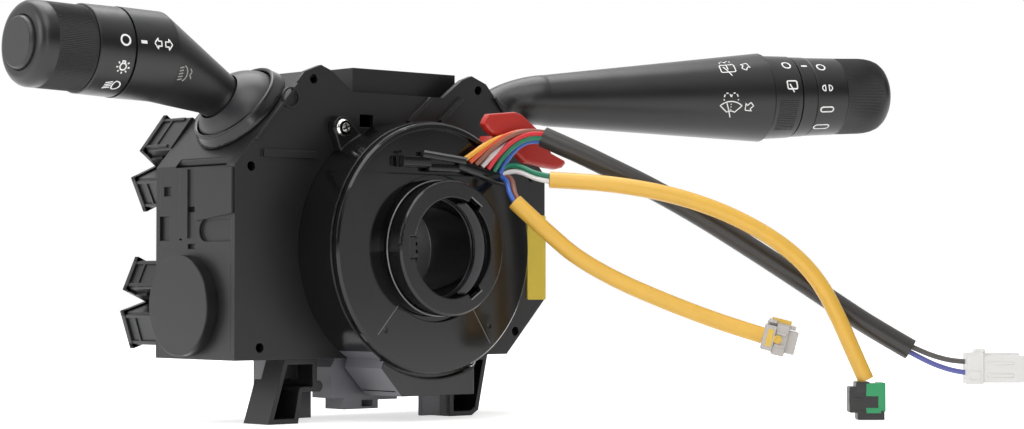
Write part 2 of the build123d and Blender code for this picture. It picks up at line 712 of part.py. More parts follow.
# Button in the lamp grip's end, with a flange that holds it in
save(turned(lamp_grip_start.offset(lamp_grip_length), [
    (0, -7.0), (lamp_button_radius + 1.8, -7.0), (lamp_button_radius + 1.8, -5.6),
    (lamp_button_radius, -5.6), (lamp_button_radius, 0.2),
    (lamp_button_face_radius + 0.4, lamp_button_proud - 0.3), (lamp_button_face_radius, lamp_button_proud),
    (0, lamp_button_proud)]), "lamp_end_button")

# Wiper stalk body: the neck turns towards the driver, then widens as a long straight cone
right_lever = lever_plane(1)
sweep_x = cos(radians(wiper_sweep_angle))
sweep_y = -sin(radians(wiper_sweep_angle))
wiper_direction = level_direction(wiper_axis_rise, sweep_x, sweep_y)


def wiper_station(distance, radius):
    """Station on the wiper stalk's straight axis."""
    return (Vector(*wiper_base) + wiper_direction * distance, wiper_direction, radius)


cone_slope = (wiper_seam_radius - wiper_cone_start_radius) / (wiper_seam - wiper_cone_start)
wiper_blend = wiper_station(wiper_cone_start + 6.4, wiper_cone_start_radius + 6.4 * cone_slope)
wiper_bend = [
    (right_lever.origin + right_lever.x_dir * neck_start, right_lever.x_dir, neck_radius),
    (right_lever.origin + right_lever.x_dir * neck_end, right_lever.x_dir, neck_end_radius),
    (Vector(80.7, -32.6, 63.4), level_direction(15, cos(radians(14)), -sin(radians(14))), 10.1),
    wiper_station(wiper_cone_start, wiper_cone_start_radius),
    wiper_blend]
wiper_cone = [wiper_blend, wiper_station(wiper_seam, wiper_seam_radius)]
wiper_stalk, wiper_end = stalk_shell(1, [wiper_bend, wiper_cone], wiper_spigot_length)
save(wiper_stalk, "wiper_stalk_body")

# Rings along the wiper stalk: rear wiper ring, fixed marker ring, band and grip
rear_ring_end = rear_ring_length
marker_start = rear_ring_end
marker_end = marker_start + marker_ring_length
band_end = marker_end + wiper_band_length
save(turned(wiper_end, [
    (lamp_bore, seam_gap), (rear_ring_radius - 0.5, seam_gap), (rear_ring_radius, seam_gap + 0.5),
    (rear_ring_radius - 0.4, rear_ring_end - 0.4), (rear_ring_radius - 0.9, rear_ring_end),
    (lamp_bore, rear_ring_end)]), "rear_wiper_ring")
save(turned(wiper_end, [
    (lamp_bore, marker_start + seam_gap), (marker_ring_radius, marker_start + seam_gap),
    (marker_ring_radius - 0.2, marker_end), (lamp_bore, marker_end)]), "wiper_marker_ring")
save(turned(wiper_end, [
    (lamp_bore, marker_end + seam_gap), (wiper_band_radius - 0.4, marker_end + seam_gap),
    (wiper_band_radius, marker_end + seam_gap + 0.5), (wiper_band_radius - 0.3, band_end),
    (lamp_bore, band_end)]), "wiper_band")
wiper_grip_start = wiper_end.offset(band_end)
with BuildPart() as wiper_grip:
    with BuildSketch(Plane(origin=wiper_grip_start.origin, x_dir=wiper_grip_start.x_dir,
                           z_dir=-wiper_grip_start.y_dir)):
        with BuildLine():
            Polyline((lamp_bore, 0), (wiper_grip_radius, 0), (wiper_grip_radius, wiper_grip_length - 8.0))
            ThreePointArc((wiper_grip_radius, wiper_grip_length - 8.0),
                          (wiper_grip_radius - 2.6, wiper_grip_length - 2.6),
                          (wiper_grip_radius - 8.0, wiper_grip_length))
            Polyline((wiper_grip_radius - 8.0, wiper_grip_length), (0, wiper_grip_length),
                     (0, wiper_grip_length - 3.0), (lamp_bore, wiper_grip_length - 3.0), (lamp_bore, 0))
        make_face()
    revolve(axis=Axis(wiper_grip_start.origin, wiper_grip_start.z_dir))
    with BuildSketch(wiper_grip_start.offset(1.5)):
        with PolarLocations(wiper_grip_radius + grip_rib_radius / 2, grip_rib_count):
            RegularPolygon(grip_rib_radius, 4)
    extrude(amount=wiper_grip_length - 12.0, mode=Mode.SUBTRACT)
save(wiper_grip.part, "wiper_grip")

# Stator housing: a cup behind the rotor, two screw ears and the harness shroud below
stator_front = rotor_setback - rotor_thickness - rotor_gap
lock_x = cos(radians(lock_angle))
lock_z = sin(radians(lock_angle))
with BuildPart() as stator_housing:
    with BuildSketch(Plane.XZ.offset(housing_depth)):
        Circle(stator_radius)
        for ear in ear_centres:
            with Locations(ear):
                Circle(4.6)
            with BuildLine():
                Polyline((ear[0] * 0.86 - ear[1] * 0.11, ear[1] * 0.86 + ear[0] * 0.11),
                         (ear[0] - ear[1] * 0.078, ear[1] + ear[0] * 0.078),
                         (ear[0] + ear[1] * 0.078, ear[1] - ear[0] * 0.078),
                         (ear[0] * 0.86 + ear[1] * 0.11, ear[1] * 0.86 - ear[0] * 0.11), close=True)
            make_face()
    extrude(amount=ear_thickness)
    with BuildSketch(Plane.XZ.offset(housing_depth)):
        Circle(stator_radius)
    extrude(amount=stator_front - housing_depth)
    # Harness shroud: its top follows the rotor's rim
    with BuildSketch(Plane.XZ.offset(housing_depth)):
        with BuildLine():
            Polyline((shroud_left, -40.0), (shroud_left - 2.5, -47.0), (shroud_left + 8.0, shroud_bottom),
                     (shroud_right, shroud_bottom), (shroud_right, -40.0), close=True)
        make_face()
    extrude(amount=shroud_front - housing_depth)
    with BuildSketch(Plane.XZ.offset(shroud_front)):
        Circle(rotor_radius + shroud_clearance)
    extrude(amount=-(shroud_front - stator_front), mode=Mode.SUBTRACT)
    with BuildSketch(Plane.XZ.offset(housing_depth)):
        with Locations((-2.0, -54.2)):
            Rectangle(34.0, 4.6)
    extrude(amount=shroud_front - housing_depth - wall, mode=Mode.SUBTRACT)
    # Room for the ribbon and the rotor's sleeve
    with BuildSketch(Plane.XZ.offset(stator_front)):
        Circle(stator_radius - stator_wall)
    extrude(amount=-(stator_front - housing_depth - stator_wall), mode=Mode.SUBTRACT)
    with BuildSketch(Plane.XZ.offset(stator_front)):
        Circle(sleeve_radius + sleeve_fit)
    extrude(amount=-(stator_front - housing_depth), mode=Mode.SUBTRACT)
    # Pocket for the transit lock's tongue
    with BuildSketch(Plane(origin=(0, -stator_front, 0), x_dir=(lock_x, 0, lock_z), z_dir=(0, -1, 0))):
        with Locations((stator_radius, 0)):
            Rectangle(10.0, lock_tongue_width + 2 * touch_gap)
    extrude(amount=-7.0, mode=Mode.SUBTRACT)
    for ear in ear_centres:
        with BuildSketch(Plane.XZ.offset(housing_depth + ear_thickness)):
            with Locations(ear):
                Circle(ear_hole_radius)
        extrude(amount=-ear_thickness, mode=Mode.SUBTRACT)
save(stator_housing.part, "stator_housing")

# Ribbon: the flat cable's spiral, from half circles whose centres alternate
with BuildPart() as ribbon_coil:
    with BuildSketch(Plane.XZ.offset(housing_depth + stator_wall)):
        for half in range(2 * ribbon_turns):
            radius = ribbon_inner_radius + half * ribbon_pitch / 2
            centre = -ribbon_pitch / 4 if half % 2 == 0 else ribbon_pitch / 4
            with BuildLine():
                CenterArc((centre, 0), radius, 180 * (half % 2), 180)
                CenterArc((centre, 0), radius + ribbon_thickness, 180 * (half % 2), 180)
                Line((centre + radius, 0), (centre + radius + ribbon_thickness, 0))
                Line((centre - radius, 0), (centre - radius - ribbon_thickness, 0))
            make_face()
    extrude(amount=rotor_setback - rotor_thickness - ribbon_end_gap - housing_depth - stator_wall)
save(ribbon_coil.part, "ribbon_coil")

# Rotor disc: the glossy front face with its cable compartment and the lock's notch
rotor_back = rotor_setback - rotor_thickness
sleeve_end = plate_back - sleeve_end_gap
with BuildPart() as rotor_disc:
    with BuildSketch(Plane.XZ.offset(rotor_back)):
        Circle(rotor_radius)
        Circle(hub_radius + hub_groove, mode=Mode.SUBTRACT)
    extrude(amount=rotor_thickness)
    chamfer(rotor_disc.edges().filter_by(GeomType.CIRCLE).group_by(Axis.Y)[0].sort_by(SortBy.RADIUS)[-1], 0.9)
    # Floor of the groove round the hub
    with BuildSketch(Plane.XZ.offset(rotor_back)):
        Circle(hub_radius + hub_groove)
        Circle(sleeve_radius, mode=Mode.SUBTRACT)
    extrude(amount=1.2)
    # Cable compartment above the ledge
    with BuildSketch(Plane.XZ.offset(rotor_setback)):
        Circle(rotor_radius - 2.6)
        with Locations((0, 29.2 - rotor_radius)):
            Rectangle(2 * rotor_radius, 2 * rotor_radius, mode=Mode.SUBTRACT)
    extrude(amount=-1.6, mode=Mode.SUBTRACT)
    with BuildSketch(Plane.XZ.offset(rotor_setback - 1.6)):
        with Locations((-11.4, 35.0)):
            RectangleRounded(15.0, 6.4, 0.8)
        with Locations((3.5, 34.4)):
            Rectangle(14.0, 2.2)
    extrude(amount=2.6)
    with BuildSketch(Plane(origin=(0, -rotor_setback, 0), x_dir=(lock_x, 0, lock_z), z_dir=(0, -1, 0))):
        with Locations((rotor_radius, 0)):
            Rectangle(10.0, notch_width)
    extrude(amount=-rotor_thickness, mode=Mode.SUBTRACT)
    # Two radial seams on the lower face
    with BuildSketch(Plane.XZ.offset(rotor_setback)):
        with Locations((-26.0, -32.0), (28.0, -31.0)):
            Circle(1.0)
    extrude(amount=-0.5, mode=Mode.SUBTRACT)
save(rotor_disc.part, "rotor_disc")

# Rotor hub: a proud lip over a wide undercut, and the sleeve that turns in the stator
with BuildPart() as rotor_hub:
    with BuildSketch(Plane.XZ.offset(sleeve_end)):
        Circle(sleeve_radius - 0.03)
        Circle(sleeve_bore_radius, mode=Mode.SUBTRACT)
    extrude(amount=rotor_back + 1.2 - sleeve_end)
    with BuildSketch(Plane.XZ.offset(rotor_back + 1.2)):
        Circle(hub_radius)
        Circle(hub_bore_radius, mode=Mode.SUBTRACT)
    extrude(amount=rotor_setback + hub_proud - rotor_back - 1.2)
    with BuildSketch(Plane.XZ.offset(rotor_back + 1.2 + hub_floor)):
        Circle(hub_radius - hub_wall)
    extrude(amount=rotor_setback + hub_proud - hub_lip_depth - rotor_back - 1.2 - hub_floor, mode=Mode.SUBTRACT)
    chamfer(rotor_hub.edges().filter_by(GeomType.CIRCLE).group_by(Axis.Y)[0].sort_by(SortBy.RADIUS)[-1], 0.7)
    with BuildSketch(Plane.XZ.offset(rotor_setback + hub_proud)):
        for angle in (57, -57):
            with Locations(Location((hub_bore_radius * cos(radians(angle)),
                                     hub_bore_radius * sin(radians(angle))), angle)):
                Rectangle(4.4, 6.4)
        with Locations((-hub_bore_radius, 0)):
            Rectangle(4.4, 9.0)
    extrude(amount=-hub_lip_depth, mode=Mode.SUBTRACT)
save(rotor_hub.part, "rotor_hub")

# Toothed latch in the hub's undercut at nine o'clock, seated on the sleeve's front face
latch_seat = rotor_back + 1.2 + hub_floor
latch_height = rotor_setback + hub_proud - 1.0 - latch_seat
with BuildPart() as hub_latch:
    with BuildSketch(Plane.XZ.offset(latch_seat)):
        with Locations((-hub_bore_radius - 0.2, 0)):
            RectangleRounded(3.4, 8.4, 0.6)
    extrude(amount=latch_height)
    for level, reach in ((0.0, 2.4), (3.2, 1.8), (6.4, 2.4)):
        with BuildSketch(Plane.XZ.offset(latch_seat + level)):
            with Locations((-hub_bore_radius + 1.2 + reach / 2 - 0.6, -3.0),
                           (-hub_bore_radius + 1.2 + reach / 2 - 0.6, 0),
                           (-hub_bore_radius + 1.2 + reach / 2 - 0.6, 3.0)):
                Rectangle(reach + 1.0, 1.6)
        extrude(amount=2.0)
save(hub_latch.part, "hub_latch")

# Light strip that clips over the wires where they leave the compartment
with BuildPart() as outlet_cover:
    with BuildSketch(Plane.XZ.offset(rotor_setback + 1.0)):
        with BuildLine():
            Polyline((-9.6, 39.4), (-7.6, 37.6), (11.6, 36.2), (11.6, 38.2), (-5.0, 39.4), close=True)
        make_face()
    extrude(amount=1.2)
    with BuildSketch(Plane.XZ.offset(rotor_setback - 1.6)):
        with Locations((-6.6, 38.9), (10.0, 37.4)):
            Rectangle(1.6, 1.0)
    extrude(amount=2.8)
save(outlet_cover.part, "outlet_cover")

# Cancel cam on the sleeve's inner end: a ring with two lobes, held by its hub
with BuildPart() as cancel_cam:
    with BuildSketch(Plane.XZ.offset(sleeve_end)):
        Circle(25.5)
        for angle in (0, 180):
            with Locations(Location((27.0 * cos(radians(angle)), 27.0 * sin(radians(angle))), angle)):
                RectangleRounded(7.0, 12.0, 1.5)
        Circle(sleeve_bore_radius, mode=Mode.SUBTRACT)
    extrude(amount=-8.0)
save(cancel_cam.part, "cancel_cam")

# Red transit lock: a flag outside the rim with a tongue in the rotor's notch
with BuildPart() as transit_lock:
    with BuildSketch(Plane.XZ.offset(rotor_setback - lock_seat)):
        with BuildLine():
            Polyline((25.4, 47.4), (22.7, 52.0), (24.6, 55.0), (38.0, 55.8), (44.0, 54.8), (52.0, 49.4),
                     (47.0, 46.4), (49.0, 43.2), (60.4, 40.8), (67.3, 38.2), (64.4, 33.4), (55.4, 33.2),
                     (44.6, 36.2), (38.5, 39.6), (34.5, 42.0), close=True)
        make_face()
        Circle(rotor_radius + 1.4, mode=Mode.SUBTRACT)
    extrude(amount=10.0)
    with BuildSketch(Plane(origin=(0, lock_tongue_seat - rotor_setback, 0), x_dir=(lock_x, 0, lock_z),
                           z_dir=(0, -1, 0))):
        with Locations((50.8, 0)):
            Rectangle(9.6, lock_tongue_width)
    extrude(amount=9.4)
    with BuildSketch(Plane.XZ.offset(rotor_setback + lock_relief)):
        with BuildLine():
            Polyline((21.0, 51.6), (54.0, 48.0), (54.0, 40.6), (21.0, 40.6), close=True)
        make_face()
    extrude(amount=-3.0, mode=Mode.SUBTRACT)
save(transit_lock.part, "transit_lock")

# Self-tapping screws, one group for the stator and one for the plate corners
with BuildPart() as stator_screws:
    with BuildSketch(Plane.XZ.offset(housing_depth + ear_thickness)):
        with Locations(*ear_centres):
            Circle(screw_head_radius)
    extrude(amount=1.8)
    with BuildSketch(Plane.XZ.offset(plate_back - 1)):
        with Locations(*ear_centres):
            Circle(screw_shank_radius)
    extrude(amount=housing_depth + ear_thickness - plate_back + 1)
save(stator_screws.part, "stator_screws")

# Grey harness plugs under the belly, behind the shroud
with BuildPart() as stator_harness_plug:
    with BuildSketch(Plane.XZ.offset(housing_depth - plug_inset)):
        with BuildLine():
            Polyline((-32.0, -47.0), (-32.0, -59.4), (-25.4, -59.4), (-25.4, -64.0), (-8.0, -64.0),
                     (-8.0, -60.6), (2.0, -60.6), (2.0, -belly_drop), (-30.0, -belly_drop), close=True)
        make_face()
        with Locations((-13.6, -61.8)):
            Rectangle(5.6, 2.6, mode=Mode.SUBTRACT)
    extrude(amount=-12.0)
save(stator_harness_plug.part, "stator_harness_plug")
with BuildPart() as side_harness_plug:
    with BuildSketch(Plane.XZ.offset(housing_depth - plug_inset)):
        with Locations((18.0, (-belly_drop - 59.0) / 2)):
            Rectangle(14.0, 59.0 - belly_drop)
    extrude(amount=-12.0)
    with BuildSketch(Plane.XZ.offset(housing_depth - plug_inset)):
        with Locations((20.0, -63.4)):
            Rectangle(9.6, 9.0)
    extrude(amount=-2.4)
save(side_harness_plug.part, "side_harness_plug")

# Rear sockets on the lamp case's board: pairs of harness shells, each turned its own way
socket_shells = {
    "upper_rear_socket": [((-64.5, 43.0), -38, 12.0, 17.0, 20.0), ((-68.5, 25.0), 24, 12.0, 13.0, 23.0)],
    "lower_rear_socket": [((-71.0, -12.6), -24, 12.0, 12.6, 25.0), ((-69.5, -30.2), 18, 14.0, 14.0, 28.0)]}
for name, shells in socket_shells.items():
    with BuildPart() as rear_socket:
        for centre, tilt, width, height, depth in shells:
            with BuildSketch(Plane.XZ):
                with Locations(Location(centre, tilt)):
                    RectangleRounded(width, height, 1.0)
            extrude(amount=-depth)
            with BuildSketch(Plane.XZ.offset(-depth)):
                with Locations(Location(centre, tilt)):
                    Rectangle(width - 2 * socket_wall, height - 2 * socket_wall)
            extrude(amount=depth - socket_floor, mode=Mode.SUBTRACT)
        # Base plate that joins the two shells, with a round clip pivot beside it
        (low_x, low_z), (high_x, high_z) = shells[1][0], shells[0][0]
        with BuildSketch(Plane.XZ):
            with Locations(((low_x + high_x) / 2, (low_z + high_z) / 2)):
                Rectangle(7.0, 8.0)
        extrude(amount=-socket_floor)
    save(rear_socket.part, name)

# Bare label plate at the front plate's right edge
with BuildPart() as label_plate:
    with BuildSketch(Plane.XZ.offset(housing_depth)):
        with Locations((half_width - label_width / 2, -2.9)):
            RectangleRounded(label_width, 35.8, 0.8)
    extrude(amount=0.6)
save(label_plate.part, "label_plate")


def corner_radii(route):
    """Radius for each corner of a route: as large as its two runs allow."""
    points = [Vector(*point) for point in route]
    radii = []
    for before, corner, after in zip(points, points[1:], points[2:]):
        turn = (corner - before).get_angle(after - corner)
        shorter = min((corner - before).length, (after - corner).length)
        radii.append(0.45 * shorter / tan(radians(turn) / 2))
    return radii


def lead_tube(route, diameter, name):
    """Tube of straight runs and tangent arcs along a route."""
    radii = corner_radii(route)
    with BuildPart() as tube:
        with BuildLine() as path:
            FilletPolyline(*route, radius=radii)
        with BuildSketch(Plane(origin=path.line @ 0, z_dir=path.line % 0)):
            Circle(diameter / 2)
        sweep(path=path.line)
    expected = pi * diameter ** 2 / 4 * path.wire().length
    print(f"{name}: length {path.wire().length:.1f}, least radius {min(radii):.1f},",
          f"volume over expected {tube.part.volume / expected:.4f}")
    return tube.part


def wire_group(route, guide, first, last, name):
    """Separate wires along one route, whose offsets square to it move from first to last."""
    points = [Vector(*point) for point in route]
    with BuildPart() as group:
        for start, end in zip(first, last):
            wire_route = []
            for index, point in enumerate(points):
                share = index / (len(points) - 1)
                along = (points[min(index + 1, len(points) - 1)] - points[max(index - 1, 0)]).normalized()
                rise = along.cross(Vector(*guide)).normalized()
                depth = rise.cross(along)
                up = start[0] * (1 - share) + end[0] * share
                out = start[1] * (1 - share) + end[1] * share
                wire_route.append(tuple(point + rise * up + depth * out))
            add(lead_tube(wire_route, wire_diameter, name))
    save(group.part, name)


row_of_seven = [(wire_row_pitch * (3 - index), 0) for index in range(7)]
bundle_of_seven = [(wire_bundle_pitch * up, wire_bundle_pitch * out) for up, out in (
    (1, 0), (0.5, -0.866), (0.5, 0.866), (0, 0), (-0.5, -0.866), (-0.5, 0.866), (-1, 0))]
loose_pair = [(0, 1.5), (0, -1.5)]
close_pair = [(0, wire_bundle_pitch / 2), (0, -wire_bundle_pitch / 2)]
contact_pair = [(0, 2.8), (0, -2.8)]
save(lead_tube(black_sleeve_route, black_sleeve_diameter, "black_sleeve"), "black_sleeve")
save(lead_tube(upper_yellow_sleeve_route, yellow_sleeve_diameter, "upper_yellow_sleeve"),
     "upper_yellow_sleeve")
save(lead_tube(lower_yellow_sleeve_route, yellow_sleeve_diameter, "lower_yellow_sleeve"),
     "lower_yellow_sleeve")
wire_group(black_lead_wires_route, (0, 1, 0), row_of_seven, bundle_of_seven, "black_lead_wires")
wire_group(upper_lead_wires_route, (0, 0, 1), loose_pair, close_pair, "upper_lead_wires")
wire_group(lower_lead_wires_route, (1, 0, 0), loose_pair, close_pair, "lower_lead_wires")
wire_group(white_connector_wires_route, (0, 0, 1), close_pair, contact_pair, "white_connector_wires")

# White connector at the black lead's end
lead_heading = Vector(17.6, -16.0, 0).normalized()
white_start = Vector(167.2, -208.3, -48.0)
with BuildPart() as white_connector:
    with BuildSketch(Plane(origin=white_start, x_dir=(0, 0, 1), z_dir=lead_heading)):
        RectangleRounded(12.8, 9.0, 0.8)
    extrude(amount=23.5)
    with BuildSketch(Plane(origin=white_start + lead_heading * 23.5, x_dir=(0, 0, 1), z_dir=lead_heading)):
        Rectangle(10.0, 6.2)
    extrude(amount=-9.0, mode=Mode.SUBTRACT)
    with BuildSketch(Plane(origin=white_start + Vector(0, 0, 6.4), x_dir=lead_heading, z_dir=(0, 0, 1))):
        with Locations((10.5, 0)):
            Rectangle(13.0, 4.4)
    extrude(amount=1.4)
save(white_connector.part, "white_connector")

# Connector with a sliding latch at the lower yellow lead's end
latch_start = Vector(*lower_yellow_sleeve_route[-1])
latch_heading = level_direction(-14, 0.673, -0.740)
latch_side = Vector(0, 0, 1).cross(latch_heading).normalized()
with BuildPart() as latch_connector:
    with BuildSketch(Plane(origin=latch_start, x_dir=latch_side, z_dir=latch_heading)):
        RectangleRounded(13.0, 15.0, 1.0)
    extrude(amount=13.5)
    with BuildSketch(Plane(origin=latch_start + latch_heading * 13.5, x_dir=latch_side, z_dir=latch_heading)):
        Rectangle(9.0, 10.0)
    extrude(amount=-6.0, mode=Mode.SUBTRACT)
save(latch_connector.part, "latch_connector")
with BuildPart() as connector_latch:
    with BuildSketch(Plane(origin=latch_start + latch_heading * 3.0, x_dir=latch_side, z_dir=latch_heading)):
        with Locations((0, 8.6)):
            Rectangle(9.0, 2.2)
    extrude(amount=8.0)
save(connector_latch.part, "connector_latch")

# Dark connector at the upper yellow lead's end, standing on the floor
green_top = Vector(*upper_yellow_sleeve_route[-1])
with BuildPart() as floor_connector:
    with BuildSketch(Plane(origin=green_top, x_dir=lead_heading, z_dir=(0, 0, -1))):
        RectangleRounded(14.6, 10.0, 1.0)
    extrude(amount=leg_reach + green_top.Z)
    with BuildSketch(Plane(origin=(green_top.X, green_top.Y, -leg_reach), x_dir=lead_heading, z_dir=(0, 0, 1))):
        Rectangle(10.6, 6.2)
    extrude(amount=8.0, mode=Mode.SUBTRACT)
save(floor_connector.part, "floor_connector")
with BuildPart() as floor_connector_lock:
    with BuildSketch(Plane(origin=green_top + Vector(0, 0, -3), x_dir=lead_heading, z_dir=(0, 0, -1))):
        with Locations((0, 6.1)):
            Rectangle(10.0, 2.0)
    extrude(amount=9.0)
save(floor_connector_lock.part, "floor_connector_lock")
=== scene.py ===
"""Studio view of a steering-column combination switch, dressed over its fixed frame.

The frame gives every solid at its real place. This script adds the finishes, the leads as smooth
curves, the printed signs and the fine pieces, and sets up a pale studio.
"""

from __future__ import annotations

import json
import logging
import math
from dataclasses import dataclass, field
from enum import Enum

import bmesh
import bpy
from mathutils import Matrix, Vector
from mathutils.bvhtree import BVHTree

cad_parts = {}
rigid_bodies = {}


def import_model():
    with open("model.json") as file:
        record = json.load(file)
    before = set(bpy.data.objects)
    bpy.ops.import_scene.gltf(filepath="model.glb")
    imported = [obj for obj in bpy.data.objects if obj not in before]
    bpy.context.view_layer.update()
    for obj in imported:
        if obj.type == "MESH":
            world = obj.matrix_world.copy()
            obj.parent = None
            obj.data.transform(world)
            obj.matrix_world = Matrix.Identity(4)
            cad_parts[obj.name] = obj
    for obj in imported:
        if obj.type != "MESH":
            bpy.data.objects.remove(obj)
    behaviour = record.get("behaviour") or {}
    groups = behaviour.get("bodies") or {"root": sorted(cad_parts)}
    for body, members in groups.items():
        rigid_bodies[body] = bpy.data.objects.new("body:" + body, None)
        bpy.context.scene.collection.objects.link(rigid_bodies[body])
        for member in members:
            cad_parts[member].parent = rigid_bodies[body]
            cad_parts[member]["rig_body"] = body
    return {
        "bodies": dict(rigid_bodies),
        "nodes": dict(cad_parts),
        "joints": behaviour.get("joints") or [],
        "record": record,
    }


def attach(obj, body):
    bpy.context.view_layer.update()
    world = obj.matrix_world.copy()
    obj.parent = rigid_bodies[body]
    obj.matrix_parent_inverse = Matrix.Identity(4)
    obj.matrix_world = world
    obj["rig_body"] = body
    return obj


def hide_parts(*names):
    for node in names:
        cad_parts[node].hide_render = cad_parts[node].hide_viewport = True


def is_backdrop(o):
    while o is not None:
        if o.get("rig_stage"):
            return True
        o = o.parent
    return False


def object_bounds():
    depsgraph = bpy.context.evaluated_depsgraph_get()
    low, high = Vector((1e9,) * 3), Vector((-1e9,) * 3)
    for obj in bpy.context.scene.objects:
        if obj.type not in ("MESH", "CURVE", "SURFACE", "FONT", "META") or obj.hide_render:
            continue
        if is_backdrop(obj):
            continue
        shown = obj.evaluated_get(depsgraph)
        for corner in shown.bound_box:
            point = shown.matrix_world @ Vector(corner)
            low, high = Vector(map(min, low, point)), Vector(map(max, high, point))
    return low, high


LOG = logging.getLogger("combination_switch")
MM = 0.001
Point = tuple[float, float, float]
Stroke = list[tuple[float, float]]
Socket = bpy.types.NodeSocket
UP, REAR, DRIVER = Vector((0, 0, 1)), Vector((0, 1, 0)), Vector((0, -1, 0))
WELD, SLIVER = 2e-6, 1e-7  # metres: points welded in a copied solid, and slivers dissolved
ROD_SIDES, SCREW_SIDES, BEAD_SIDES = 28, 40, 128


# ---- small tools ----


def linear(code: str) -> tuple[float, float, float, float]:
    """Turns an sRGB hex colour into linear values.

    Args:
        code: Six hex digits, such as "2a2a2c".

    Returns:
        Linear red, green, blue and an alpha of one.
    """
    parts = [int(code[i:i + 2], 16) / 255 for i in (0, 2, 4)]
    red, green, blue = ((c / 12.92) if c <= 0.04045 else ((c + 0.055) / 1.055) ** 2.4
                        for c in parts)
    return (red, green, blue, 1.0)


def add_node(tree: bpy.types.NodeTree, kind: str, settings: dict | None = None,
             links: dict | None = None) -> bpy.types.Node:
    """Adds one node with its settings and incoming links.

    Args:
        tree: The node tree.
        kind: The node's type name.
        settings: Attribute or input values by name.
        links: Output sockets by the input that they feed.

    Returns:
        The new node.
    """
    node = tree.nodes.new(kind)
    for key, value in (settings or {}).items():
        if isinstance(key, str) and hasattr(node, key):
            setattr(node, key, value)
        else:
            node.inputs[key].default_value = value
    for key, socket in (links or {}).items():
        tree.links.new(socket, node.inputs[key])
    return node


def fresh_material(name: str) -> tuple[bpy.types.Material, bpy.types.Node, bpy.types.Node]:
    """Starts a node material.

    Args:
        name: The material's name.

    Returns:
        The material, its main shader and its Object coordinates.
    """
    material = bpy.data.materials.new(name)
    material.use_nodes = True
    tree = material.node_tree
    return material, tree.nodes["Principled BSDF"], add_node(tree, "ShaderNodeTexCoord")


def feed(node: bpy.types.Node, inputs: dict) -> None:
    """Gives a node's inputs their values or their incoming links.

    Args:
        node: The node.
        inputs: A value or an output socket by the input's name.
    """
    for key, value in inputs.items():
        if isinstance(value, Socket):
            node.id_data.links.new(value, node.inputs[key])
        else:
            node.inputs[key].default_value = value


def noise(place: bpy.types.Node, size_mm: float, detail: float) -> Socket:
    """Noise of one size in the object's own coordinates."""
    return add_node(place.id_data, "ShaderNodeTexNoise", {"Scale": 1 / (size_mm * MM), "Detail": detail},
                    {"Vector": place.outputs["Object"]}).outputs["Fac"]


def remap(source: Socket, low: float, high: float, start: float = 0.0, end: float = 1.0) -> Socket:
    """The source's range from start to end, stretched to run from low to high."""
    return add_node(source.id_data, "ShaderNodeMapRange",
                    {"From Min": start, "From Max": end, "To Min": low, "To Max": high},
                    {"Value": source}).outputs["Result"]


def larger(first: Socket, second: Socket) -> Socket:
    """The larger of two values."""
    return add_node(first.id_data, "ShaderNodeMath", {"operation": "MAXIMUM"},
                    {0: first, 1: second}).outputs[0]


def tinted(blend: Socket, colour: str, spread: float) -> Socket:
    """Mixes a darker and a lighter tone of a colour.

    Args:
        blend: The output that mixes them.
        colour: The colour's hex digits.
        spread: How far each tone lies from the colour, as a share of it.

    Returns:
        The mixed colour.
    """
    tone = add_node(blend.id_data, "ShaderNodeMix", {"data_type": "RGBA"}, {0: blend})
    for index, share in ((6, 1 - spread), (7, 1 + spread)):
        tone.inputs[index].default_value = (*(min(1.0, c * share) for c in linear(colour)[:3]), 1.0)
    return tone.outputs[2]


def relief(height: Socket, strength: float, depth_mm: float, edge_mm: float = 0.0) -> Socket:
    """Draws a fine relief, over softened edges where an edge is given.

    Args:
        height: The relief's height.
        strength: The bump's strength.
        depth_mm: The bump's depth.
        edge_mm: The radius that softens the edges.

    Returns:
        The normal.
    """
    links = {"Height": height}
    if edge_mm:
        soft = add_node(height.id_data, "ShaderNodeBevel", {"samples": 4, "Radius": edge_mm * MM})
        links["Normal"] = soft.outputs["Normal"]
    return add_node(height.id_data, "ShaderNodeBump",
                    {"Strength": strength, "Distance": depth_mm * MM}, links).outputs["Normal"]


def add_object(name: str, data: bpy.types.ID) -> bpy.types.Object:
    """Makes an object of its data and links it to the scene.

    Args:
        name: The object's name.
        data: Its mesh, curve, lamp or camera.

    Returns:
        The object.
    """
    made = bpy.data.objects.new(name, data)
    bpy.context.scene.collection.objects.link(made)
    return made


def mesh_of(form: bmesh.types.BMesh, name: str) -> bpy.types.Mesh:
    """Turns a form into a new mesh and frees the form.

    Args:
        form: The form.
        name: The mesh's name.

    Returns:
        The mesh.
    """
    mesh = bpy.data.meshes.new(name)
    form.to_mesh(mesh)
    form.free()
    return mesh


# ---- finishes ----


@dataclass(frozen=True)
class Recipe:
    """What every finish has: a name, a colour and the shader inputs that its kind works out."""

    name: str
    colour: str

    def build(self) -> bpy.types.Material:
        """Builds the material.

        Returns:
            The material.
        """
        material, shader, place = fresh_material(self.name)
        feed(shader, self.inputs(place))
        return material


